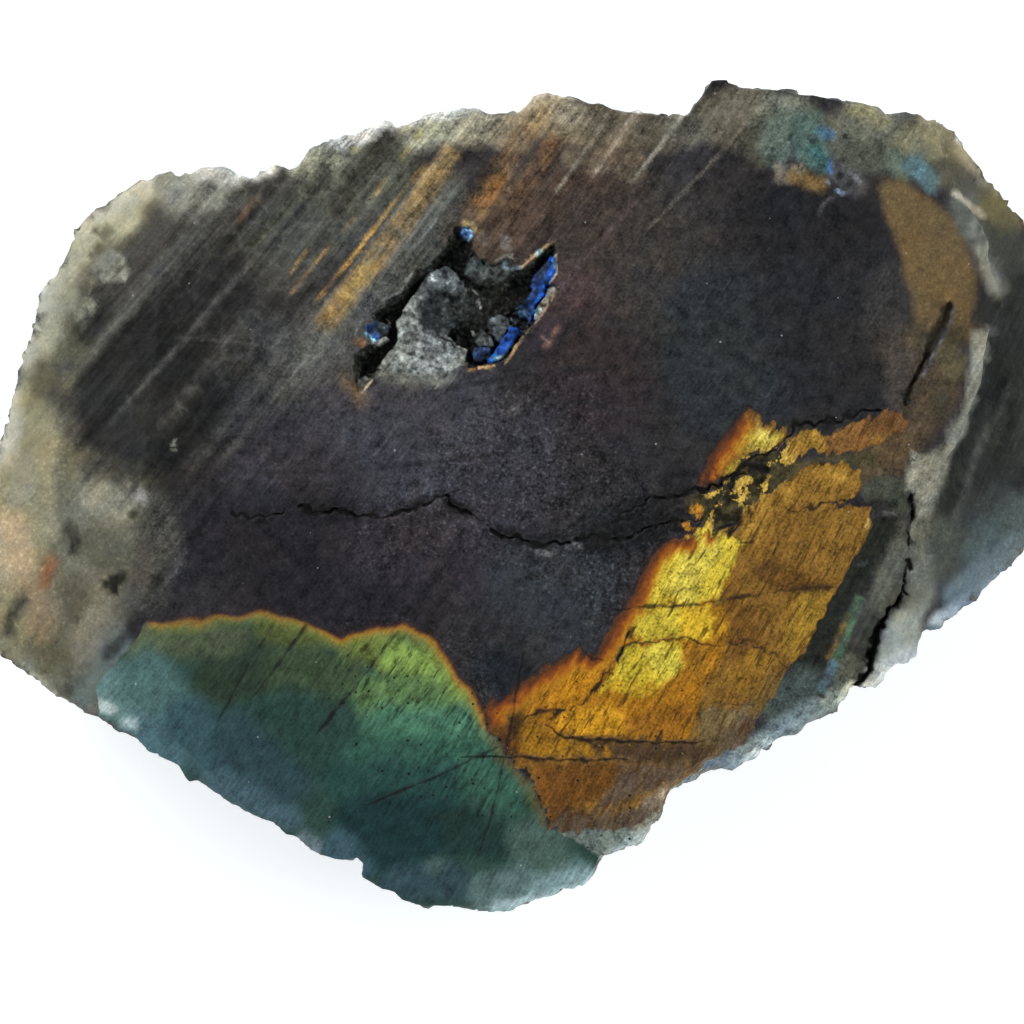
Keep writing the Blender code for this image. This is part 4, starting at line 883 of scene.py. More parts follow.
CRACKS: tuple[Crack, ...] = (
    # The long crack across the body, thick and thin by turns
    Crack((-29.8,-1.8, -27.3,-2.3, -24.7,-2, -24.4,-1), 0.26, 0.3, 0.7),
    Crack((-22.7,-1.1, -21.4,-1.6, -19,-1.5, -16.8,-1.9), 0.46, 0.5, 0.7),
    Crack((-17.4,-1.8, -15.2,-2.2, -13.2,-1.9), 0.2, 0.3, 0.6),
    Crack((-13.8,-2, -12,-1.5, -10.6,-0.9, -9.2,-0.5), 0.36, 0.4, 0.7),
    Crack((-10.2,-0.7, -8.9,-0.3, -7.7,-0.1), 0.15, 0.3, 0.5),
    Crack((-8.1,-0.2, -7.5,-1, -6.6,-1.5, -5.2,-2), 0.46, 0.5, 0.7),
    Crack((-7.9,-0.1, -7.2,0.4, -6.6,0.6), 0.13, 0.25, 0.5),
    Crack((-5.6,-1.9, -4.4,-2.8, -3.2,-3.7), 0.07, 0.15, 0.6),
    Crack((-3.5,-3.7, -1.4,-4.1, 0.4,-4.6, 1.9,-4.9, 4.6,-4.7), 0.42, 0.45, 0.8),
    Crack((0.9,-5.2, 2.4,-5.1, 3.6,-4.7), 0.12, 0.2, 0.7),
    Crack((5.2,-4.4, 6.8,-4, 8.4,-4.3, 10.9,-4.1), 0.48, 0.45, 0.8),
    Crack((10.2,-4.2, 12,-3.5, 13.2,-3.2, 14.8,-2.5, 16.4,-2.6), 0.36, 0.4, 0.8),
    Crack((8.4,-2.8, 9.6,-2.2, 10.8,-1.4, 12.2,-0.7), 0.24, 0.3, 0.9),
    Crack((12,-0.6, 13.6,-0.2, 15.4,0, 17.4,0.7), 0.26, 0.4, 0.7),
    Crack((12.6,-3, 13.8,-3.6), 0.18, 0.25, 0.7),
    # Through the chipped seam and on along the gold islands
    Crack((17,0.5, 18.6,0.7, 19.6,1, 20.6,1.9, 21.6,2.6, 22.8,3.1), 0.36, 0.5, 0.8),
    Crack((21.2,2.4, 22.2,2.9, 23.2,2.7, 24.3,2.5), 0.5, 0.5, 0.7),
    Crack((20.2,0.6, 21,1.6, 22.2,2.2), 0.18, 0.4, 0.6),
    Crack((22,3.3, 23.4,3.9, 25,4.6, 26,5.6, 26.9,6.6), 0.16, 0.35, 0.7),
    Crack((26.6,6.6, 27.4,7.1, 28.8,7.1, 30.2,7.4, 31.2,7.5), 0.36, 0.4, 0.7),
    Crack((30.8,7.5, 32.2,7.8, 33.6,8.3, 35.4,8.5), 0.24, 0.35, 0.7),
    Crack((18.4,-4, 19.6,-3.6, 20.4,-3, 20.9,-2.8), 0.16, 0.3, 0.5),
    Crack((21.3,-2, 21.2,-2.9, 20.6,-3.6, 20.2,-4.3), 0.13, 0.3, 0.5),
    Crack((20.8,-4.2, 21.4,-4.9, 22,-4.9, 22.8,-4.5), 0.09, 0.2, 0.5),
    Crack((16.4,-4.2, 17.2,-3, 17.8,-2.2), 0.14, 0.25, 0.5),
    Crack((15.6,-2.3, 16.8,-2.5, 17.4,-2.2), 0.16, 0.25, 0.6),
    Crack((22.2,-1, 22.5,-2, 22.3,-2.9), 0.08, 0.2, 0.4),
    # The shelf's cracks
    Crack((42.5,19.3, 41.9,17.4, 40.8,15.4, 39.6,13), 0.85, 0.8, 0.1, 0.75),
    Crack((40.3,14.4, 39.2,12.2, 38.6,11, 37.9,9), 0.62, 0.6, 0.1, 0.75),
    Crack((38.3,0, 38.6,-0.9, 38.8,-1.5, 38.6,-2.7), 0.28, 0.6, 0.5),
    Crack((38.1,-3.8, 38.4,-4.4, 38.4,-5), 0.16, 0.4, 0.4),
    Crack((38.1,-6.3, 38.4,-7.1, 38.8,-7.4), 0.24, 0.5, 0.4),
    Crack((38.2,-6.9, 37.9,-8, 37.8,-8.9), 0.17, 0.6, 0.4),
    Crack((37.7,-9, 37.9,-9.6, 38.1,-10), 0.16, 0.5, 0.3),
    Crack((37.8,-9.4, 37,-10.8, 36,-12, 35.4,-13.2), 0.36, 1, 0.6),
    Crack((36.1,-11.7, 35.2,-13.6, 34.8,-15.2, 34.5,-16.8, 33.9,-18.2, 33.2,-19), 0.46, 1.3, 0.7),
    # Fine cracks through the gold and the green
    Crack((9.2,-15.3, 10.9,-14.8, 13.4,-14.6, 15.8,-14.3, 17.4,-14.8, 19.4,-15.2), 0.13, 0.2, 0.4, 0.85),
    Crack((7.4,-11.7, 11.4,-11.2, 15.4,-11.1, 17.6,-10.9, 18.6,-10.6), 0.18, 0.14, 0.3, 0.8),
    Crack((18,-10.8, 19.4,-10.6, 21.6,-10.2, 23.9,-9.9), 0.18, 0.12, 0.3, 0.8),
    Crack((24.4,-9.7, 28,-9.4, 31,-9.3), 0.3, 0.15, 0.3, 0.7),
    Crack((19.4,-15.2, 22,-14.5, 24.4,-15.8, 26,-17.2), 0.16, 0.15, 0.6, 0.7),
    Crack((26.4,-7, 27.4,-6, 28,-4.6), 0.1, 0.1, 0.5, 0.6),
    Crack((30.4,-4.6, 31.4,-5.4, 32.4,-4.8), 0.1, 0.1, 0.5, 0.6), Crack((15,-8, 16.8,-8), 0.05, 0.1, 0.4),
    Crack((17.9,-20.8, 20.4,-21, 23,-21), 0.12, 0.15, 0.3, 0.6),
    Crack((-6.6,-26.2, -2.6,-26.2, 3.4,-26.5, 10,-26.5), 0.22, 0.25, 0.25, 0.8),
    Crack((1.9,-23, 3.9,-24.3, 7.4,-24.5, 11.4,-24.8, 17.4,-24.7), 0.18, 0.25, 0.25, 0.85),
    Crack((1.9,-23, 2.9,-21.7, 4.9,-21.1, 6.4,-20.7), 0.12, 0.2, 0.7),
    Crack((-0.6,-22.7, 1.4,-21.5, 2.9,-21.7), 0.11, 0.2, 0.7),
    Crack((-0.2,-15.6, -1,-20, -1.6,-23.4, -2.1,-26.3), 0.2, 0.25, 0.2, 0.6),
    Crack((-2.2,-26.3, -2.8,-29.5, -3.6,-32.5, -4.6,-35.5), 0.14, 0.2, 0.1, 0.6),
    Crack((9.1,-16.8, 10,-14.6, 10.5,-13.6), 0.2, 0.3, 0.6),
    Crack((6,-21, 7.2,-19, 8.2,-17.6, 9,-16.4), 0.1, 0.2, 0.6),
    Crack((5.6,-15.6, 6.8,-16.3, 7.9,-16.4), 0.09, 0.15, 0.5),
    Crack((17,-6.9, 15.6,-9.4, 13.8,-10.4), 0.05, 0.1, 0.5),
    Crack((17.4,-4.4, 16.2,-6.6), 0.07, 0.12, 0.4), Crack((25.4,-4.2, 25,-5, 24.5,-6), 0.1, 0.12, 0.5),
    Crack((27.4,-7.8, 26.4,-8.8, 25.2,-9.4), 0.09, 0.12, 0.6),
    Crack((32.4,-0.6, 30.6,-1, 28.6,-1.1, 27,-1.8, 25.8,-1.4), 0.13, 0.15, 0.8),
    Crack((-12.8,-13.6, -16.6,-18.6, -21,-24), 0.22, 0.12, 0.1, 0.8),
    Crack((-21.8,-12.8, -24.4,-16.4, -27.4,-20.4), 0.2, 0.12, 0.1, 0.75),
    Crack((-25,-12.4, -28,-17.4, -31,-23), 0.18, 0.1, 0.1, 0.6),
    Crack((-18,-14.4, -20,-17, -22,-20), 0.15, 0.1, 0.1, 0.55),
    Crack((-2.4,-25, -9,-28.2, -16,-31), 0.2, 0.12, 0.1, 0.75),
    Crack((-6,-15.2, -2.8,-13.4, 0.6,-12.8), 0.06, 0.1, 0.7),
    Crack((12.9,-24.6, 13.6,-23.4), 0.16, 0.2, 0.5), Crack((1.6,2.4, 2.4,3, 3.2,3.6), 0.1, 0.2, 0.6),
    Crack((4.2,0.5, 6,0.9), 0.1, 0.15, 0.6), Crack((-27.2,14.6, -26.8,13.6), 0.06, 0.1, 0.4),
)

PIT_MOUTH: Path = (
    -16.4,16.1, -15.9,16.8, -15.5,17.4, -15.6,18, -14.9,18.8, -14.2,19, -13.9,19.6, -13,19.9, -12.4,20.5,
    -11.3,22, -10.9,22.5, -10.2,22.6, -9.4,23.5, -8.2,24.9, -7.5,26.2, -7.3,27.2, -6.9,26.9, -5.9,27,
    -5.3,26.6, -5.2,26, -5.4,25.5, -5.4,24.5, -5,24, -4.2,23.6, -3.4,23, -2.6,23.4, -2,23.8, -1.4,23.5,
    -1.2,22.7, -0.3,22.7, 0.3,23.3, 1,23.9, 1.8,24.4, 2.8,25.3, 3,24.7, 2.8,23.9, 3.1,22.3, 2.4,21.1,
    2.9,21, 3.2,20.6, 2.5,19.4, 1.9,18.2, 0.9,17.1, -0.1,16, -1,14.8, -2,13.4, -3.2,12.9, -4.8,12.7,
    -5.8,12.6, -6.6,12.9, -7.4,12.2, -8.8,11.2, -10,11.4, -12.1,11.6, -13.6,12.1, -14.8,12, -15.4,11.7,
    -16.2,10.7, -16.8,10.2, -17.2,11.4, -17.4,12.6, -17.2,14, -16.2,14.8, -15.2,15.2, -15.8,15.6,
)


def painted(places: Rows, base: str | Rows, touches: Touches,
            worn: Rows | None = None) -> Rows:
    """Lays touches of colour over a base colour.

    Args:
        places: Rows of x and y, in millimetres.
        base: The colour under them all, or a row of sRGB values for each place.
        touches: The touches, from the lowest to the highest.
        worn: How strongly the touches show at each place, where they are worn unevenly.

    Returns:
        Rows of red, green and blue in sRGB.
    """
    colours = np.tile(srgb(base), (len(places), 1)) if isinstance(base, str) else base.copy()
    for touch in touches:
        corners, far = points(touch.path), touch.margin()
        low, high = corners.min(axis=0) - far, corners.max(axis=0) + far
        near = np.nonzero(((places > low) & (places < high)).all(axis=1))[0]
        share = touch.cover(places[near])
        if worn is not None:
            share = np.clip(share * worn[near], 0, 1)
        colours[near] = mixed(colours[near], touch.colour, share)
    return colours


def amount(places: Rows, base: str, touches: Touches) -> Rows:
    """How strong a map of grey touches is at each place, from nought to one."""
    return painted(places, base, touches)[:, 0]


def gathered(items: Any, name: str, width: int = 3, kind: type = float) -> Rows:
    """Reads one property of all of a mesh's points, edges, faces or corners.

    Args:
        items: The points, edges, faces or corners.
        name: Blender's name for the property.
        width: How many numbers each item has.
        kind: The type of the numbers.

    Returns:
        A row of numbers for each item, or just its number where the width is one.
    """
    flat = np.empty(len(items) * width, kind)
    items.foreach_get(name, flat)
    return flat.reshape(-1, width) if width > 1 else flat


class Layer(Enum):
    """The values that the stone's points hold for its finish."""

    GROUND = "ground"
    FLASH = "flash"
    ZONES = "zones"
    MARKS = "marks"
    GRAIN = "grain"
    TEXTURE = "texture"
    WEAR_AND_RELIEF_SHADE = "wear_and_relief_shade"


@dataclass
class Chunk:
    """The block of labradorite: one piece, remeshed from the frame and broken finer."""

    weld: float = 0.002  # how close the frame's loose corners lie
    voxel: float = 0.5  # the side of the squares
    coarse: float = 0.75  # touches no wider than this lie on finer squares
    margins: tuple[float, float] = (0.6, 0.2)  # how far finer squares reach, in each round
    wall_break: float = 0.5  # how far the walls are broken
    facet_width: float = 3.0
    crystal_width: float = 1.3
    pit_depth: float = 2.2
    pit_slope: float = 2.4  # how fast the pit falls away from its mouth
    pit_rim: float = 1.5  # how far round the mouth the pit is filled before the remesh
    face_skin: float = 2.4  # how far below the sawn face the squares stay small
    crack_reach: float = 3.5  # how far below the sawn face cracks are cut
    pit_reach: float = 4.0  # how far below it the pit is painted
    face_reach: float = 4.5  # how far below it points still belong to it
    walls_kept: float = 0.36  # the share of the walls' faces that is left
    crease_deg: float = 38.0
    stone: bpy.types.Object = field(init=False)
    places: Rows = field(init=False)
    low: Rows = field(init=False)
    high: Rows = field(init=False)
    top: float = field(init=False)
    torn: Rows = field(init=False)
    crack: Rows = field(init=False)

    def build(self) -> bpy.types.Object:
        """Makes the stone.

        Returns:
            The finished piece, without its finish.
        """
        self.low, self.high = (np.array(corner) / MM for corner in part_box(NODE))
        self.top = float(self.high[2])
        self.copy_frame()
        self.fill_pit()
        self.remesh()
        self.places = self.read_places()
        self.break_walls()
        self.write_places()
        self.thin_walls()
        self.refine()
        self.sink_pit()
        self.carve_cracks()
        self.write_places()
        self.paint()
        self.lay_map()
        self.choose()
        bpy.ops.object.shade_smooth_by_angle(angle=math.radians(self.crease_deg))
        return self.stone

    def choose(self) -> None:
        """Selects the stone alone and makes it the active object."""
        bpy.ops.object.select_all(action="DESELECT")
        self.stone.select_set(True)
        bpy.context.view_layer.objects.active = self.stone

    def copy_frame(self) -> None:
        """Copies the frame's node and joins its loose triangles."""
        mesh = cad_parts[NODE].data.copy()
        mesh.name = "rough_stone"
        self.stone = bpy.data.objects.new("rough_stone", mesh)
        bpy.context.scene.collection.objects.link(self.stone)
        self.choose()
        bpy.ops.object.mode_set(mode="EDIT")
        bpy.ops.mesh.select_all(action="SELECT")
        bpy.ops.mesh.remove_doubles(threshold=self.weld * MM)
        bpy.ops.object.mode_set(mode="OBJECT")

    def fill_pit(self) -> None:
        """Lifts the pit to the sawn face, so that the remesh leaves even squares to sink it from."""
        self.places = self.read_places()
        inside = depth_inside(self.places[:, :2], PIT_MOUTH) > -self.pit_rim
        inside &= self.places[:, 2] > self.top - self.face_reach
        self.places[inside, 2] = self.top
        self.write_places()

    def remesh(self) -> None:
        """Remeshes the block into small squares."""
        self.stone.data.remesh_voxel_size = self.voxel * MM
        bpy.ops.object.voxel_remesh()

    def thin_walls(self) -> None:
        """Thins out the faces of the walls and the base, where nothing fine is painted."""
        places = self.read_places()
        walls = self.stone.vertex_groups.new(name="walls")
        low = np.nonzero(places[:, 2] < self.top - self.face_skin)[0]
        walls.add([int(i) for i in low], 1.0, "REPLACE")
        thin = self.stone.modifiers.new("thin_walls", "DECIMATE")
        thin.vertex_group = walls.name
        thin.ratio = 1 - (1 - self.walls_kept) * len(low) / len(places)
        bpy.ops.object.modifier_apply(modifier=thin.name)
        self.stone.vertex_groups.clear()

    def read_places(self) -> Rows:
        """The stone's points, as rows of x, y and z in millimetres."""
        return gathered(self.stone.data.vertices, "co") / MM

    def write_places(self) -> None:
        """Moves the stone's points to the worked places, kept inside the frame's box."""
        inside = np.clip(self.places, self.low, self.high)
        self.stone.data.vertices.foreach_set("co", (inside * MM).ravel())
        self.stone.data.update()

    def refine(self) -> None:
        """Divides the squares of the sawn face along its cracks, its thin bands and its pit."""
        for fine in (False, True):
            places = self.read_places()
            self.divide(self.detailed(places, fine) & (places[:, 2] > self.top - self.face_reach))
        self.places = self.read_places()
        flat = np.abs(self.places[:, 2] - self.top) < self.voxel / 3
        self.places[flat, 2] = self.top

    def detailed(self, places: Rows, fine: bool) -> Rows:
        """Which points lie near something finer than the squares.

        Args:
            places: Rows of x, y and z in millimetres.
            fine: True for the second round, which halves the squares again.

        Returns:
            True for each point that does.
        """
        plan = places[:, :2]
        margin = self.margins[fine]
        near = depth_inside(plan, PIT_MOUTH) > -margin
        for crack in CRACKS:
            near |= distance_to(plan, crack.path)[0] < crack.half_width + margin
        for touch in RIM_TONES if fine else (*RIM_TONES, *DETAILS):
            if touch.margin() <= self.coarse:
                near |= touch.near(plan, margin / 2)
        if not fine:
            near |= depth_inside(plan, SEAM) > -0.5
            near |= depth_inside(plan, GOLD_FLASH) > -1
        return near

    def divide(self, near: Rows) -> None:
        """Divides every edge whose two ends are marked.

        Args:
            near: True for each point that is marked.
        """
        mesh = self.stone.data
        chosen = near[gathered(mesh.edges, "vertices", 2, int)].all(axis=1)
        bpy.context.tool_settings.mesh_select_mode = (False, True, False)
        for items in (mesh.polygons, mesh.vertices):
            items.foreach_set("select", np.zeros(len(items), bool))
        mesh.edges.foreach_set("select", chosen)
        bpy.ops.object.mode_set(mode="EDIT")
        bpy.ops.mesh.subdivide(number_cuts=1)
        bpy.ops.object.mode_set(mode="OBJECT")

    def break_walls(self) -> None:
        """Breaks the walls, the worn end and the shelf into cleavage facets and small steps."""
        normals = gathered(self.stone.data.vertices, "normal")
        low = self.top - self.places[:, 2]
        broken = eased(low, 0.02, 0.9) * eased(self.places[:, 2], 0.02, 0.8)
        steep = eased(-np.abs(normals[:, 2]), -0.97, -0.6)
        strength = self.wall_break * broken * (0.3 + 0.7 * steep) * (1 + eased(low, 2, 6))
        across, along = Fan.coordinates(self.places, self.top)
        lumps = ripples(self.places, 0, (2.4, 0, 0.5), (0.9, 7, 0.3))
        steps = ripple(np.stack([np.floor(across / 0.9), along / 6, across * 0], 1), 1)
        flats, _ = broken_flats(self.places, self.facet_width)
        push = lumps + steps * 0.35 + flats * 0.9 - 0.9 * eased(low, 0.6, 4)
        moved = broken > 0
        self.places[moved] += normals[moved] * (strength * push)[moved, None]

    def sink_pit(self) -> None:
        """Shapes the pit: a deep channel, whose shade is painted dark on it, round a lump of pale
        crystals, and blue cleavages.
        """
        self.torn = ripples(self.places, 0, (0.8, 3, 0.18), (0.35, 5, 0.12))
        inside = depth_inside(self.places[:, :2], PIT_MOUTH) + self.torn
        chosen = (inside > -0.05) & (self.places[:, 2] > self.top - self.face_reach)
        spots, inside = self.places[chosen], inside[chosen]
        depth = np.minimum(self.pit_depth, np.maximum(0, inside) * self.pit_slope)
        for facet in PIT_FACETS:
            depth += (facet.depth - depth) * facet.cover(spots[:, :2] + self.torn[chosen, None] * 0.8)
        flats, _ = broken_flats(spots, self.crystal_width)
        grain = flats * 0.4 + ripple(spots, 0.4, 3) * 0.1
        depth += grain * eased(inside, 0.1, 0.6) * eased(depth, 0.05, 0.4)
        self.places[chosen, 2] = self.top - np.maximum(0, depth)

    def carve_cracks(self) -> None:
        """Cuts the cracks into the sawn face and keeps how deep each point is in one."""
        plan = self.places[:, :2]
        wander = drift(self.places, 0.8, 0, 9)
        swell = np.clip(ripples(self.places, 1, (1.7, 4, 0.7), (0.6, 2, 0.4)), 0.2, 2)
        stain = np.clip(ripples(self.places, 0.5, (1.4, 6, 0.7)), 0, 1)
        self.crack = np.zeros(len(plan))
        fallen = np.zeros(len(plan))
        for crack in CRACKS:
            off, share = distance_to(plan + wander * crack.ragged * 0.5, crack.path)
            taper = np.sqrt(np.clip(np.minimum(share, 1 - share) * 8, 0.02, 1))
            wide = crack.half_width * taper * swell
            inside = np.clip(1 - off / (wide + 0.08), 0, 1)
            fallen = np.maximum(fallen, crack.depth * inside)
            dark = eased(inside, 0.05, 0.6) * np.minimum(1, 0.3 + wide * 2.8) * crack.dark
            halo = (1 - eased(off, wide, wide + 0.35 + crack.half_width)) * stain * taper * crack.dark
            halo *= min(0.6, 0.15 + crack.half_width * 1.4)
            self.crack = np.max([self.crack, dark, halo], 0)
        upper = self.places[:, 2] > self.top - self.crack_reach
        self.crack[~upper] = 0
        self.places[:, 2] -= np.where(upper, fallen, 0)

    def paint(self) -> None:
        """Works out the values that the finish reads, and keeps them on the points."""
        exact, height = self.places[:, :2], self.places[:, 2]
        broad = drift(self.places, 2.6, 0, 9)
        plan = exact + broad * 0.35
        fine = drift(self.places, 0.7, 3, 12)
        across, along = Fan.coordinates(self.places, self.top)
        comb = ripple(np.stack([across, along / 7, across * 0], 1), 0.6, 4)
        close = exact + broad * 0.12 + fine * 0.16 + comb[:, None] * Fan.way() * 0.7
        near_top = eased(height, self.top - 2.2, self.top - 0.9)
        facing = gathered(self.stone.data.vertices, "normal")[:, 2]
        wall = eased(-facing, -0.62, -0.3) * eased(-height, 0.9 - self.top, 2.2 - self.top)
        wall *= depth_inside(exact, PIT_MOUTH) < -1
        self.keep_colour(Layer.GROUND, self.ground_tones(plan, exact, wall, facing))
        gold, splinter = (
            np.max([depth_inside(close, zone) for zone in zones], 0)
            for zones in ((GOLD_FLASH, *GOLD_ISLANDS, *SPLINTERS), (*SPLINTERS, *GOLD_ISLANDS[2:]))
        )
        green = depth_inside(plan, GREEN_FLASH)
        tones = [painted(plan, GREEN_BASE, GREEN_TONES), painted(close, GOLD_BASE, GOLD_TONES)]
        self.keep_colour(Layer.FLASH, np.where((gold > green)[:, None], tones[1], tones[0]))
        below = (1 - near_top) * 3 + wall * 30
        fringe = amount(plan, "#000000", FRINGE) * eased(-splinter, 0.1, 0.5)
        pins = amount(plan, "#404040", PINHOLES) * near_top
        self.keep_vector(Layer.ZONES, green - below, gold - below, fringe)
        self.keep_vector(Layer.MARKS, self.crack, pins, near_top)
        self.keep_vector(Layer.GRAIN, across, along, height * 0)
        self.keep_vector(Layer.WEAR_AND_RELIEF_SHADE, amount(plan, "#484848", ROUGH_WITH_PAINTED_RELIEF),
                         amount(plan, "#ffffff", WORN_SMOOTH), wall)
        self.keep_vector(Layer.TEXTURE, amount(plan, "#303030", STRIPED),
                         amount(plan, "#000000", VEINED) * near_top, amount(plan, "#000000", CHIPPED))

    def ground_tones(self, plan: Rows, exact: Rows, wall: Rows,
                     facing: Rows) -> Rows:
        """The colour of the body at each point.

        Args:
            plan: Rows of x and y that wander a little, for the broad drifts.
            exact: Rows of x and y as they are, for the fine features.
            wall: How much of each point is broken wall, from nought to one.
            facing: How far each point faces up, from minus one to one.

        Returns:
            Rows of red, green and blue in sRGB.
        """
        places = self.places
        tones = painted(plan, BODY, GROUND)
        for outline, tone, soft in ((BRONZE_PATCH, BRONZE, 0.5), (SEAM, SEAM_OLIVE, 0.6)):
            tones = mixed(tones, tone, eased(depth_inside(plan, outline), -soft, soft))
        rubble = eased(depth_inside(plan, SEAM), -0.2, 0.6) * eased(-exact[:, 0], -27, -24)
        broken = np.clip(ripples(places, 0.5, (0.9, 6, 0.9), (0.4, 0, 0.4)), 0, 1)
        tones = mixed(tones, RUBBLE, rubble * broken * 0.8)
        worn = np.clip(ripples(places, 0.85, (1.1, 5, 0.6)), 0.25, 1.1)
        wander = drift(places, 0.9, 1, 8)
        tones = painted(exact + wander * 0.05, tones, DETAILS, worn)
        edge = depth_inside(exact, PIT_MOUTH) + self.torn
        within = eased(edge, -0.04, 0.08) * (places[:, 2] > self.top - self.pit_reach)
        # The pit's floor: its near-black base and its darker blotches are partly painted shade of its
        # crevices
        floor = painted(exact + self.torn[:, None] * 0.8, PIT_BASE_WITH_SHADE, (*PIT_FACETS, *PIT_TONES))
        floor = mixed(floor, PIT_GRAINS, eased(ripple(places, 0.35, 11), 0.1, 0.7) * 0.5)
        floor = mixed(floor, floor * 0.3, eased(ripple(places, 0.6, 17), 0.25, 0.8) * 0.6)
        # Each crystal cell of the floor a little lighter or darker: partly its own tone, partly painted
        # light, as if its face caught the light at its own angle
        _, shade = broken_flats(places * (within > 0)[:, None], self.crystal_width)
        floor *= (1 + 0.22 * shade + 0.25 * ripple(places, 0.5, 4))[:, None]
        tones = mixed(tones, floor, within)
        tones = painted(exact + wander * 0.06, tones, RIM_TONES, worn)
        # Each cleavage facet of the walls a little lighter or darker: partly its own tone, partly painted
        # light, as if it caught the light at its own angle
        _, shade = broken_flats(places * (wall > 0)[:, None], self.facet_width)
        broken = ripples(places, 0.5, (4.5, 2, 0.3), (1.2, 2, 0.25)) + 0.22 * shade
        sides = mixed(srgb(WALL_DARK), WALL_PALE, np.clip(broken, 0, 1))
        sides = mixed(sides, RUST, np.clip(ripples(places, -0.35, (5, 7, 1)), 0, 1))
        tones = mixed(tones, sides, wall * 0.96)
        return mixed(tones, SAWN_BASE, eased(-facing, 0.6, 0.9))

    def keep_colour(self, layer: Layer, colours: Rows) -> None:
        """Keeps one colour for each point, as linear light.

        Args:
            layer: What the colours are for.
            colours: Rows of red, green and blue in sRGB.
        """
        kept = self.stone.data.attributes.new(layer.value, "FLOAT_COLOR", "POINT")
        light = np.maximum(to_linear(np.clip(colours, 0, 1)) - SHEEN, 0.002)
        kept.data.foreach_set("color", np.column_stack([light, np.ones(len(light))]).ravel())

    def keep_vector(self, layer: Layer, *columns: Rows) -> None:
        """Keeps three numbers for each point."""
        kept = self.stone.data.attributes.new(layer.value, "FLOAT_VECTOR", "POINT")
        kept.data.foreach_set("vector", np.column_stack(columns).ravel())

    def lay_map(self) -> None:
        """Lays the texture map: the show face largest, the wall in two strips, and the base."""
        mesh = self.stone.data
        layer = mesh.uv_layers.new(name="OFBake")
        sides = gathered(mesh.polygons, "loop_total", 1, int)
        centres = np.repeat(gathered(mesh.polygons, "center") / MM, sides, axis=0)
        facing = np.repeat(gathered(mesh.polygons, "normal")[:, 2], sides)
        spots = self.read_places()[gathered(mesh.loops, "vertex_index", 1, int)]
        span = self.high - self.low
        share = (spots - self.low) / span
        upper = (facing > 0.3) & (centres[:, 2] > self.top / 2)
        base = (centres[:, 2] < 0.2) & (facing < -0.3)
        bearing = np.arctan2(centres[:, 1] / span[1], centres[:, 0] / span[0])
        turn = np.arctan2(spots[:, 1] / span[1], spots[:, 0] / span[0])
        turn = bearing + (turn - bearing + math.pi) % math.tau - math.pi
        far_side = bearing >= 0
        unrolled = np.where(far_side, turn, turn + math.pi) / math.pi
        u = 0.01 + 0.98 * np.where(upper | base, share[:, 0], np.clip(unrolled, -0.005, 1.005))
        v = np.where(far_side, 0.155, 0.065) + 0.08 * share[:, 2]
        v = np.where(base, 0.005 + 0.05 * share[:, 1], v)
        v = np.where(upper, 0.25 + 0.74 * share[:, 1], v)
        layer.data.foreach_set("uv", np.column_stack([u, v]).ravel())


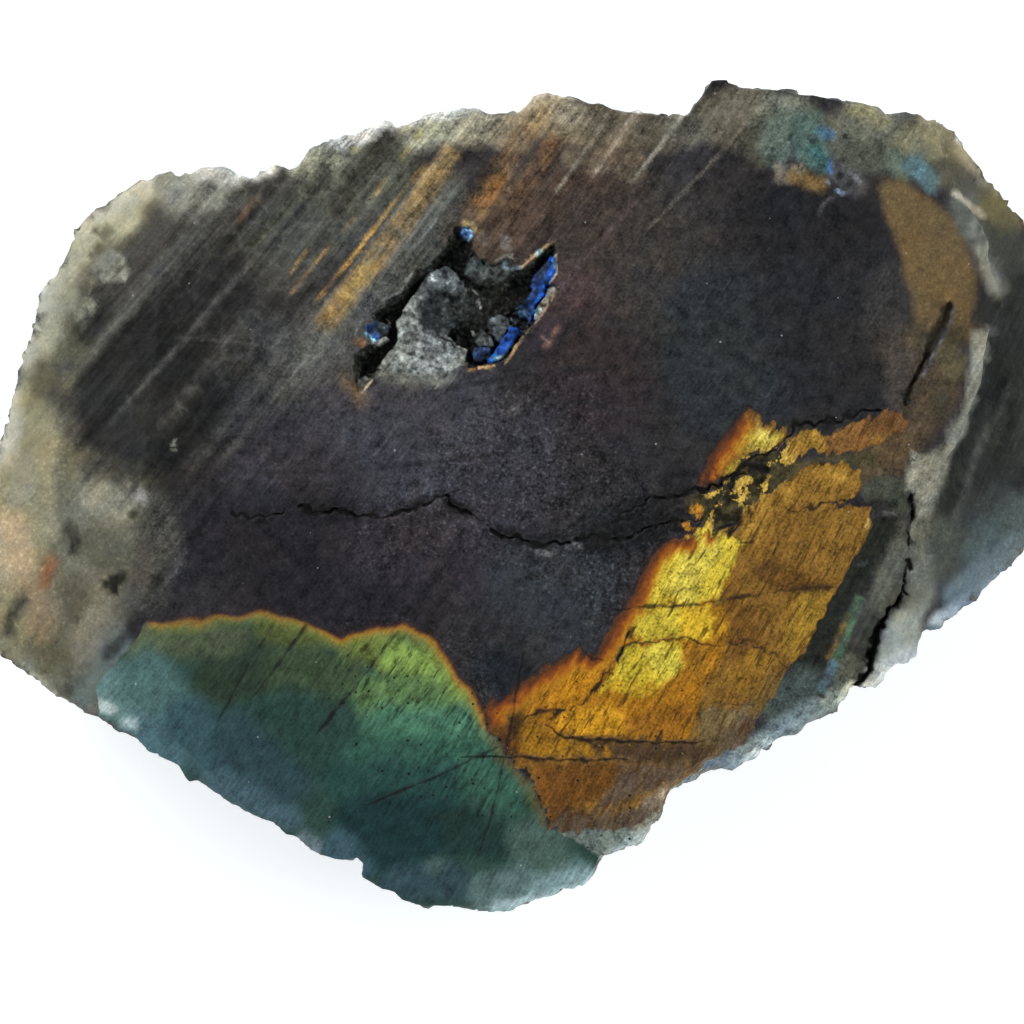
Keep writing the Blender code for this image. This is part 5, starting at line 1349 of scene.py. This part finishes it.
@dataclass
class Labradorite:
    """Labradorite, a plagioclase feldspar, sawn and left unpolished.

    The saw leaves it satin, with a fine grit. Its twin lamellae show as hairlines
    that all run one way, and thin films between them flash green and gold.
    """

    roughness: float = 0.5
    specular: float = 0.12
    ior: float = 1.56
    lamella: float = 0.42  # mm between hairlines
    band: float = 1.9  # mm between wider bands
    mottle: float = 1.5  # mm
    grit: float = 0.26  # mm, drawn about twice as coarse as the real grain so that it shows
    vein: float = 2.3  # mm between the pale veins
    pin_spacing: float = 1.3  # mm between pinholes
    painted_glint_spacing: float = 6.5  # mm between painted glints, light spots that stand for sparkle highlights
    tree: bpy.types.NodeTree = field(init=False)
    place: Any = field(init=False)  # the socket of each spot's place in millimetres
    noises: dict[str, Any] = field(init=False)  # the socket of each noise
    values: dict[Layer, Any] = field(init=False)  # the node of each layer
    split: dict[Layer, Any] = field(init=False)  # the three sockets of a layer's numbers

    def make(self) -> bpy.types.Material:
        """Builds the material.

        Returns:
            The material, ready for the stone.
        """
        material = bpy.data.materials.new("sawn_labradorite")
        material.use_nodes = True
        self.tree = tree = material.node_tree
        tree.nodes.clear()
        self.patterns()
        output = add(tree, "OutputMaterial")
        dull = add(tree, "Math", {0: self.noises["mottles"], 1: 0.4, 2: self.roughness - 0.2},
                   operation="MULTIPLY_ADD")
        shader = add(tree, "BsdfPrincipled", {
            "Base Color": self.coloured(), "Roughness": dull.outputs[0],
            "Specular IOR Level": self.specular, "IOR": self.ior, "Normal": self.relieved()})
        tree.links.new(shader.outputs["BSDF"], output.inputs["Surface"])
        return material

    def patterns(self) -> None:
        """Makes the noises that the colour and the relief share, and reads the kept values."""
        tree = self.tree
        local = add(tree, "TexCoord").outputs["Object"]
        self.place = place = add(tree, "VectorMath", {0: local, "Scale": 1 / MM},
                                 operation="SCALE").outputs[0]
        self.values = {layer: add(tree, "Attribute", attribute_name=layer.value) for layer in Layer}
        grain = self.values[Layer.GRAIN].outputs["Vector"]
        self.noises = {}
        for name, source, wide, long, detail in (
            ("hairlines", grain, self.lamella, self.lamella * 24, 2),
            ("bands", grain, self.band, self.band * 14, 2),
            ("lines", grain, 0.9, 26, 1), ("ragged", grain, 0.9, 3, 3),
            ("streaks", grain, 0.3, 1.9, 3), ("scratches", grain, 0.22, 6, 1),
            ("furrows", grain, 0.5, 3.4, 3), ("mottles", place, self.mottle, self.mottle, 5),
            ("lumps", place, 0.8, 0.8, 3), ("clouds", place, 6, 6, 2),
            ("grits", place, self.grit, self.grit, 2), ("specks", place, 0.42, 0.42, 1),
        ):
            scale = (1 / wide, 1 / long, 0 if source == grain else 1 / wide)
            vector = add(tree, "VectorMath", {0: source, 1: scale}, operation="MULTIPLY")
            made = add(tree, "TexNoise", {"Vector": vector.outputs[0], "Scale": 1,
                                          "Detail": detail, "Roughness": 0.6})
            self.noises[name] = made.outputs["Fac"]
            if name == "lumps":
                bend = made.outputs["Color"]
        for name, source, wide, long, bent in (
            ("veins", place, self.vein, self.vein, 1.4), ("crackle", grain, 1.9, 4.2, 0.9),
        ):
            vector = add(tree, "VectorMath", {0: bend, 1: (bent, bent, 0), 2: source},
                         operation="MULTIPLY_ADD")
            vector = add(tree, "VectorMath", {0: vector.outputs[0], 1: (1 / wide, 1 / long, 0)},
                         operation="MULTIPLY")
            made = add(tree, "TexVoronoi", {"Vector": vector.outputs[0], "Scale": 1},
                       voronoi_dimensions="2D", feature="DISTANCE_TO_EDGE")
            self.noises[name] = made.outputs["Distance"]
        self.split = {
            layer: add(tree, "SeparateXYZ", {0: self.values[layer].outputs["Vector"]}).outputs
            for layer in (Layer.ZONES, Layer.MARKS, Layer.TEXTURE, Layer.WEAR_AND_RELIEF_SHADE)
        }

    def varied(self, colour: Any, swings: tuple[tuple[str, float, float, Any], ...]) -> Any:
        """A colour made lighter and darker by noises.

        Args:
            colour: The colour's socket.
            swings: The name of each noise, what it adds at its middle, how strongly it swings,
                and its share, as a number or a socket.

        Returns:
            The socket of the varied colour.
        """
        tree = self.tree
        factor: Any = 1.0
        for name, middle, swing, share in swings:
            part = add(tree, "Math", {0: self.noises[name], 1: swing, 2: middle - swing / 2},
                       operation="MULTIPLY_ADD")
            factor = add(tree, "Math", {0: part.outputs[0], 1: share, 2: factor},
                         operation="MULTIPLY_ADD").outputs[0]
        factor = add(tree, "Math", {0: factor, 1: 0.3}, operation="MAXIMUM").outputs[0]
        return add(tree, "VectorMath", {0: colour, "Scale": factor}, operation="SCALE").outputs[0]

    def blended(self, colour: Any, tint: Any, where: Any, low: float, high: float,
                share: Any) -> Any:
        """Lays a tint over a colour where a noise passes from low to high.

        Args:
            colour: The colour's socket.
            tint: The tint's socket or hex colour.
            where: The noise's name, or the socket that says where.
            low: Where the tint starts.
            high: Where it is full.
            share: The most that the tint covers, as a number or a socket.

        Returns:
            The socket of the blended colour.
        """
        source = self.noises[where] if isinstance(where, str) else where
        over = linear(tint) if isinstance(tint, str) else tint
        step = add(self.tree, "MapRange", {"Value": source, "From Min": low, "From Max": high},
                   interpolation_type="SMOOTHSTEP")
        cover = add(self.tree, "Math", {0: step.outputs[0], 1: share}, operation="MULTIPLY")
        return add(self.tree, "Mix", {0: cover.outputs[0], 6: colour, 7: over},
                   data_type="RGBA").outputs[2]

    def body(self) -> Any:
        """The dark body: its twins' hairlines and bands, saw marks, veins and walls, and where it is
        rough, specks and grain painted as the light and shade of its relief.

        Returns:
            The socket of its colour.
        """
        tree = self.tree
        stripes, veins, _ = self.split[Layer.TEXTURE]
        rough_painted_relief, grainy, wall = self.split[Layer.WEAR_AND_RELIEF_SHADE]
        scraped, lined = (
            add(tree, "Math", {0: part, 1: 0.5}, operation="MULTIPLY").outputs[0]
            for part in (grainy, stripes)
        )
        # Where the face is rough, the stronger grits and lumps are painted light and shade of its relief
        body = self.varied(self.values[Layer.GROUND].outputs["Color"], (
            ("hairlines", 0, 1.3, stripes), ("bands", 0, 2.4, stripes),
            ("mottles", 0, 0.5, 1), ("mottles", 0, 1.4, grainy), ("streaks", 0, 0.8, grainy),
            ("grits", 0, 1.2, grainy), ("lumps", 0, 1.1, grainy), ("grits", 0, 1.6, rough_painted_relief),
            ("lumps", 0, 1.2, rough_painted_relief), ("mottles", 0, 1.8, wall), ("lumps", 0, 1.4, wall),
            ("grits", 0, 1.4, wall),
        ))
        shades = {
            name: add(tree, "VectorMath", {0: body, 1: share}, operation="MULTIPLY").outputs[0]
            for name, share in (
                ("pale", (1.6, 1.6, 1.6)), ("dark", (0.45, 0.45, 0.45)),
                ("painted_highlight", (2.1, 2.15, 2.2)), ("warm", (1.1, 1.0, 0.88)),
                ("cool", (0.94, 0.98, 1.1)),
            )
        }
        # Bright specks where the face is rough are painted highlights, and dark specks there are painted
        # shade in its pits
        for name, where, low, high, share in (
            ("warm", "clouds", 0.47, 0.64, 0.8), ("cool", "clouds", 0.5, 0.34, 0.8),
            ("pale", "scratches", 0.6, 0.72, scraped), ("dark", "scratches", 0.4, 0.27, scraped),
            ("pale", "lines", 0.56, 0.66, lined), ("dark", "lines", 0.44, 0.34, lined),
            ("pale", "veins", 0.2, 0, veins), ("dark", "crackle", 0.05, 0, wall),
            ("dark", "lumps", 0.4, 0.3, wall), ("dark", "specks", 0.43, 0.34, rough_painted_relief),
            ("painted_highlight", "specks", 0.58, 0.7, rough_painted_relief),
        ):
            body = self.blended(body, shades[name], where, low, high, share)
        return body

    def greens(self) -> Any:
        """The green to teal flash, torn by furrows where it is rough, with painted highlights there:
        brighter copies of its own colour along streaks.

        Returns:
            The socket of its colour.
        """
        flash = self.values[Layer.FLASH].outputs["Color"]
        rough_painted_relief = self.split[Layer.WEAR_AND_RELIEF_SHADE][0]
        lively = add(self.tree, "Math", {0: rough_painted_relief, 1: 0.5}, operation="MULTIPLY").outputs[0]
        # Where it is rough, the ragged and lumpy swings are painted light and shade of its relief
        greens = self.varied(flash, (
            ("streaks", 0, 1.3, 1), ("mottles", 0, 1.2, 1), ("grits", 0, 1.1, 1),
            ("ragged", 0, 2.2, rough_painted_relief), ("lumps", 0, 1.6, rough_painted_relief),
        ))
        greens = self.blended(greens, "#1b2b22", "furrows", 0.44, 0.32, rough_painted_relief)
        # Painted highlights: the flash's own colour made about twice as bright, laid along streaks where
        # it is rough
        painted_glints = add(self.tree, "VectorMath", {0: flash, 1: (2.1, 2.1, 1.7)}, operation="MULTIPLY")
        return self.blended(greens, painted_glints.outputs[0], "streaks", 0.54, 0.68, lively)

    def golds(self) -> Any:
        """The gold flash, crackled, furrowed and specked.

        Returns:
            The socket of its colour.
        """
        golds = self.varied(self.values[Layer.FLASH].outputs["Color"], (
            ("streaks", 0, 2, 1), ("mottles", 0, 1.5, 1), ("grits", 0.08, 2, 1),
            ("ragged", 0, 1.5, 1),
        ))
        for tint, where, low, high, share in (
            ("#3a2812", "crackle", 0.05, 0, 0.22), ("#4e3614", "furrows", 0.45, 0.35, 0.85),
            ("#4a3416", "specks", 0.38, 0.28, 0.55), ("#d8c877", "specks", 0.66, 0.8, 0.2),
        ):
            golds = self.blended(golds, tint, where, low, high, share)
        return golds

    def coloured(self) -> Any:
        """Lays the flashes, their fringes, the cracks, the pinholes and painted glint highlights over the
        body.

        Returns:
            The socket of the finished colour.
        """
        tree = self.tree
        green, gold, fringe = self.split[Layer.ZONES]
        crack, pins, upper = self.split[Layer.MARKS]
        chips = self.split[Layer.TEXTURE][2]
        colour = self.body()
        for tint, depth, wander, torn, stops in (
            (self.greens(), green, 0.6, 0, GREEN_FRINGE), (self.golds(), gold, 1, 2.6, GOLD_FRINGE),
        ):
            edge = add(tree, "Math", {0: self.noises["ragged"], 1: wander, 2: -wander / 2},
                       operation="MULTIPLY_ADD")
            edge = add(tree, "Math", {0: edge.outputs[0], 1: depth}).outputs[0]
            if torn:
                bits = add(tree, "Math", {0: self.noises["lumps"], 1: torn, 2: -torn / 2},
                           operation="MULTIPLY_ADD")
                edge = add(tree, "Math", {0: bits.outputs[0], 1: chips, 2: edge},
                           operation="MULTIPLY_ADD").outputs[0]
            colour = self.blended(colour, tint, edge, -0.15, 0.15, 1)
            colour = self.fringed(colour, edge, fringe, stops)
        colour = self.blended(colour, "#121211", crack, 0, 1, 0.94)
        colour = self.spotted(colour, pins, "#0b0a09", 0.9, 0.17, self.pin_spacing)
        # Painted highlights: small light grey glints near the sawn face, standing for sparkles of light
        # off its grains
        return self.spotted(colour, upper, "#b9bab6", 0.5, 0.13, self.painted_glint_spacing)

    def fringed(self, colour: Any, depth: Any, share: Any, stops: Stops) -> Any:
        """Lays the spectral fringe of a flash over a colour.

        Args:
            colour: The socket of the colour under the fringe.
            depth: The socket of the depth inside the flash, in millimetres.
            share: The socket that says where the flash has its fringe.
            stops: Depth, colour and strength, from the outside in.

        Returns:
            The socket of the fringed colour.
        """
        tree = self.tree
        first, last = stops[0][0], stops[-1][0]
        spread = add(tree, "MapRange", {"Value": depth, "From Min": first, "From Max": last})
        ramp = add(tree, "ValToRGB", {"Fac": spread.outputs[0]})
        while len(ramp.color_ramp.elements) < len(stops):
            ramp.color_ramp.elements.new(0.5)
        for element, (at, tint, strength) in zip(ramp.color_ramp.elements, stops):
            element.position = (at - first) / (last - first)
            element.color = (*linear(tint)[:3], strength)
        full = add(tree, "Math", {0: ramp.outputs["Alpha"], 1: share}, operation="MULTIPLY")
        grained = self.varied(ramp.outputs["Color"], (("streaks", 0, 0.7, 1), ("grits", 0, 1, 1)))
        return add(tree, "Mix", {0: full.outputs[0], 6: colour, 7: grained},
                   data_type="RGBA").outputs[2]

    def spotted(self, colour: Any, density: Any, tint: str, share: float, radius: float,
                spacing: float) -> Any:
        """Scatters pinholes, or glints that are painted highlights, over a colour.

        Args:
            colour: The colour's socket.
            density: The socket that says how thickly they lie.
            tint: Their hex colour.
            share: The most that they cover.
            radius: The widest radius of one.
            spacing: How far apart they lie.

        Returns:
            The socket of the spotted colour.
        """
        tree = self.tree
        cells = add(tree, "TexVoronoi", {"Vector": self.place, "Scale": 1 / spacing},
                    voronoi_dimensions="2D")
        draw = add(tree, "SeparateXYZ", {0: cells.outputs["Color"]})
        size = add(tree, "Math", {0: draw.outputs[0], 1: density}, operation="MULTIPLY")
        size = add(tree, "MapRange", {"Value": size.outputs[0], "From Min": 0.4, "From Max": 1,
                                      "To Min": 0, "To Max": radius / spacing})
        inside = add(tree, "Math", {0: size.outputs[0], 1: cells.outputs["Distance"]},
                     operation="SUBTRACT")
        return self.blended(colour, tint, inside.outputs[0], 0, 0.04 / spacing, share)

    def relieved(self) -> Any:
        """The fine relief that the saw and the grain leave, in millimetres of height.

        Returns:
            The socket of the bumped normal.
        """
        height: Any = 0.0
        for name, tall in (("mottles", 0.1), ("lumps", 0.04), ("grits", 0.024), ("streaks", 0.016)):
            height = add(self.tree, "Math", {0: self.noises[name], 1: tall, 2: height},
                         operation="MULTIPLY_ADD").outputs[0]
        return add(self.tree, "Bump", {"Height": height, "Strength": 1, "Distance": MM}).outputs[0]


@dataclass(frozen=True)
class PaleBoard:
    """Matt painted board, which gives the floor an even pale tone and no gloss."""

    colour: str = "#f4f6f7"
    glow_colour: str = "#f4faff"
    glow: float = 0.45
    roughness: float = 0.9
    specular: float = 0.1

    def make(self) -> bpy.types.Material:
        """Builds the material.

        Returns:
            The material, ready for the floor.
        """
        board = bpy.data.materials.new("pale_board")
        board.use_nodes = True
        sockets = board.node_tree.nodes["Principled BSDF"].inputs
        for name, value in (
            ("Base Color", linear(self.colour)), ("Roughness", self.roughness),
            ("Specular IOR Level", self.specular), ("Emission Color", linear(self.glow_colour)),
            ("Emission Strength", self.glow),
        ):
            sockets[name].default_value = value
        return board


@dataclass(frozen=True)
class Studio:
    """A plain pale floor, soft light from large panels, and a camera straight above."""

    picture: float = 102.4  # mm of the show face across the picture
    centre: tuple[float, float] = (-1.4, -1.7)
    lens: float = 105.0
    sensor: float = 36.0
    floor_radius: float = 4.0  # m, as the panels' places and sides are
    panel_side: float = 0.4
    sky: float = 0.9

    def build(self, top: float) -> None:
        """Makes the floor, the light and the camera.

        Args:
            top: The height of the show face in millimetres.
        """
        self.lay_floor()
        self.hang_panels()
        self.light_room()
        self.place_camera(top)
        scene = bpy.context.scene
        scene.view_settings.view_transform = "Standard"
        scene.view_settings.look = "None"

    def lay_floor(self) -> None:
        """Lays a round floor of pale matt board under the stone."""
        bpy.ops.mesh.primitive_circle_add(vertices=96, radius=self.floor_radius, fill_type="NGON")
        floor = bpy.context.object
        floor.name = "pale_floor"
        floor.data.materials.append(PaleBoard().make())

    def hang_panels(self) -> None:
        """Hangs the soft panels well off to the sides, so the face shows no haze from above."""
        for name, place, power in (
            ("key_panel", (-0.40, 0.42, 0.32), 2.6),
            ("right_panel", (0.52, 0.10, 0.28), 1.4),
            ("near_panel", (-0.05, -0.56, 0.28), 1.4),
        ):
            light = bpy.data.lights.new(name, "AREA")
            light.energy = power
            light.size = self.panel_side
            panel = bpy.data.objects.new(name, light)
            panel.location = place
            panel.rotation_euler = (-Vector(place)).to_track_quat("-Z", "Y").to_euler()
            bpy.context.scene.collection.objects.link(panel)

    def light_room(self) -> None:
        """Lights the room evenly from the sides and more dimly from straight above."""
        world = bpy.data.worlds.new("pale_room")
        world.use_nodes = True
        tree = world.node_tree
        tree.nodes.clear()
        way = add(tree, "TexCoord").outputs["Generated"]
        height = add(tree, "SeparateXYZ", {0: way}).outputs[2]
        ramp = add(tree, "ValToRGB", {"Fac": height})
        for element, at, tint in zip(ramp.color_ramp.elements, (0.3, 0.85), ("#f6f9fb", "#7c7f82")):
            element.position = at
            element.color = linear(tint)
        room = add(tree, "Background", {"Color": ramp.outputs["Color"], "Strength": self.sky})
        output = add(tree, "OutputWorld")
        tree.links.new(room.outputs[0], output.inputs["Surface"])
        bpy.context.scene.world = world

    def place_camera(self, top: float) -> None:
        """Hangs the camera straight above the show face, with +Y up in the picture.

        Args:
            top: The height of the show face in millimetres.
        """
        data = bpy.data.cameras.new("camera")
        data.lens = self.lens
        data.sensor_width = self.sensor
        data.clip_start = 0.01
        data.clip_end = 20.0
        camera = bpy.data.objects.new("camera", data)
        above = self.picture * self.lens / self.sensor
        camera.location = Vector((*self.centre, top + above)) * MM
        bpy.context.scene.collection.objects.link(camera)
        bpy.context.scene.camera = camera


def report(piece: bpy.types.Object) -> None:
    """Logs a piece's size and its count of faces."""
    size = ", ".join(f"{side / MM:.1f}" for side in piece.dimensions)
    log.info("%s: %d faces, %s mm", piece.name, len(piece.data.polygons), size)


def main() -> None:
    """Builds the stone and the studio, and reports each piece."""
    logging.basicConfig(level=logging.INFO, format="%(name)s: %(message)s")
    noise.seed_set(NOISE_SEED)
    chunk = Chunk()
    stone = chunk.build()
    stone.data.materials.clear()
    stone.data.materials.append(Labradorite().make())
    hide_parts(NODE)
    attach(stone, "root")
    report(stone)
    Studio().build(chunk.top)


if __name__ == "__main__":
    main()
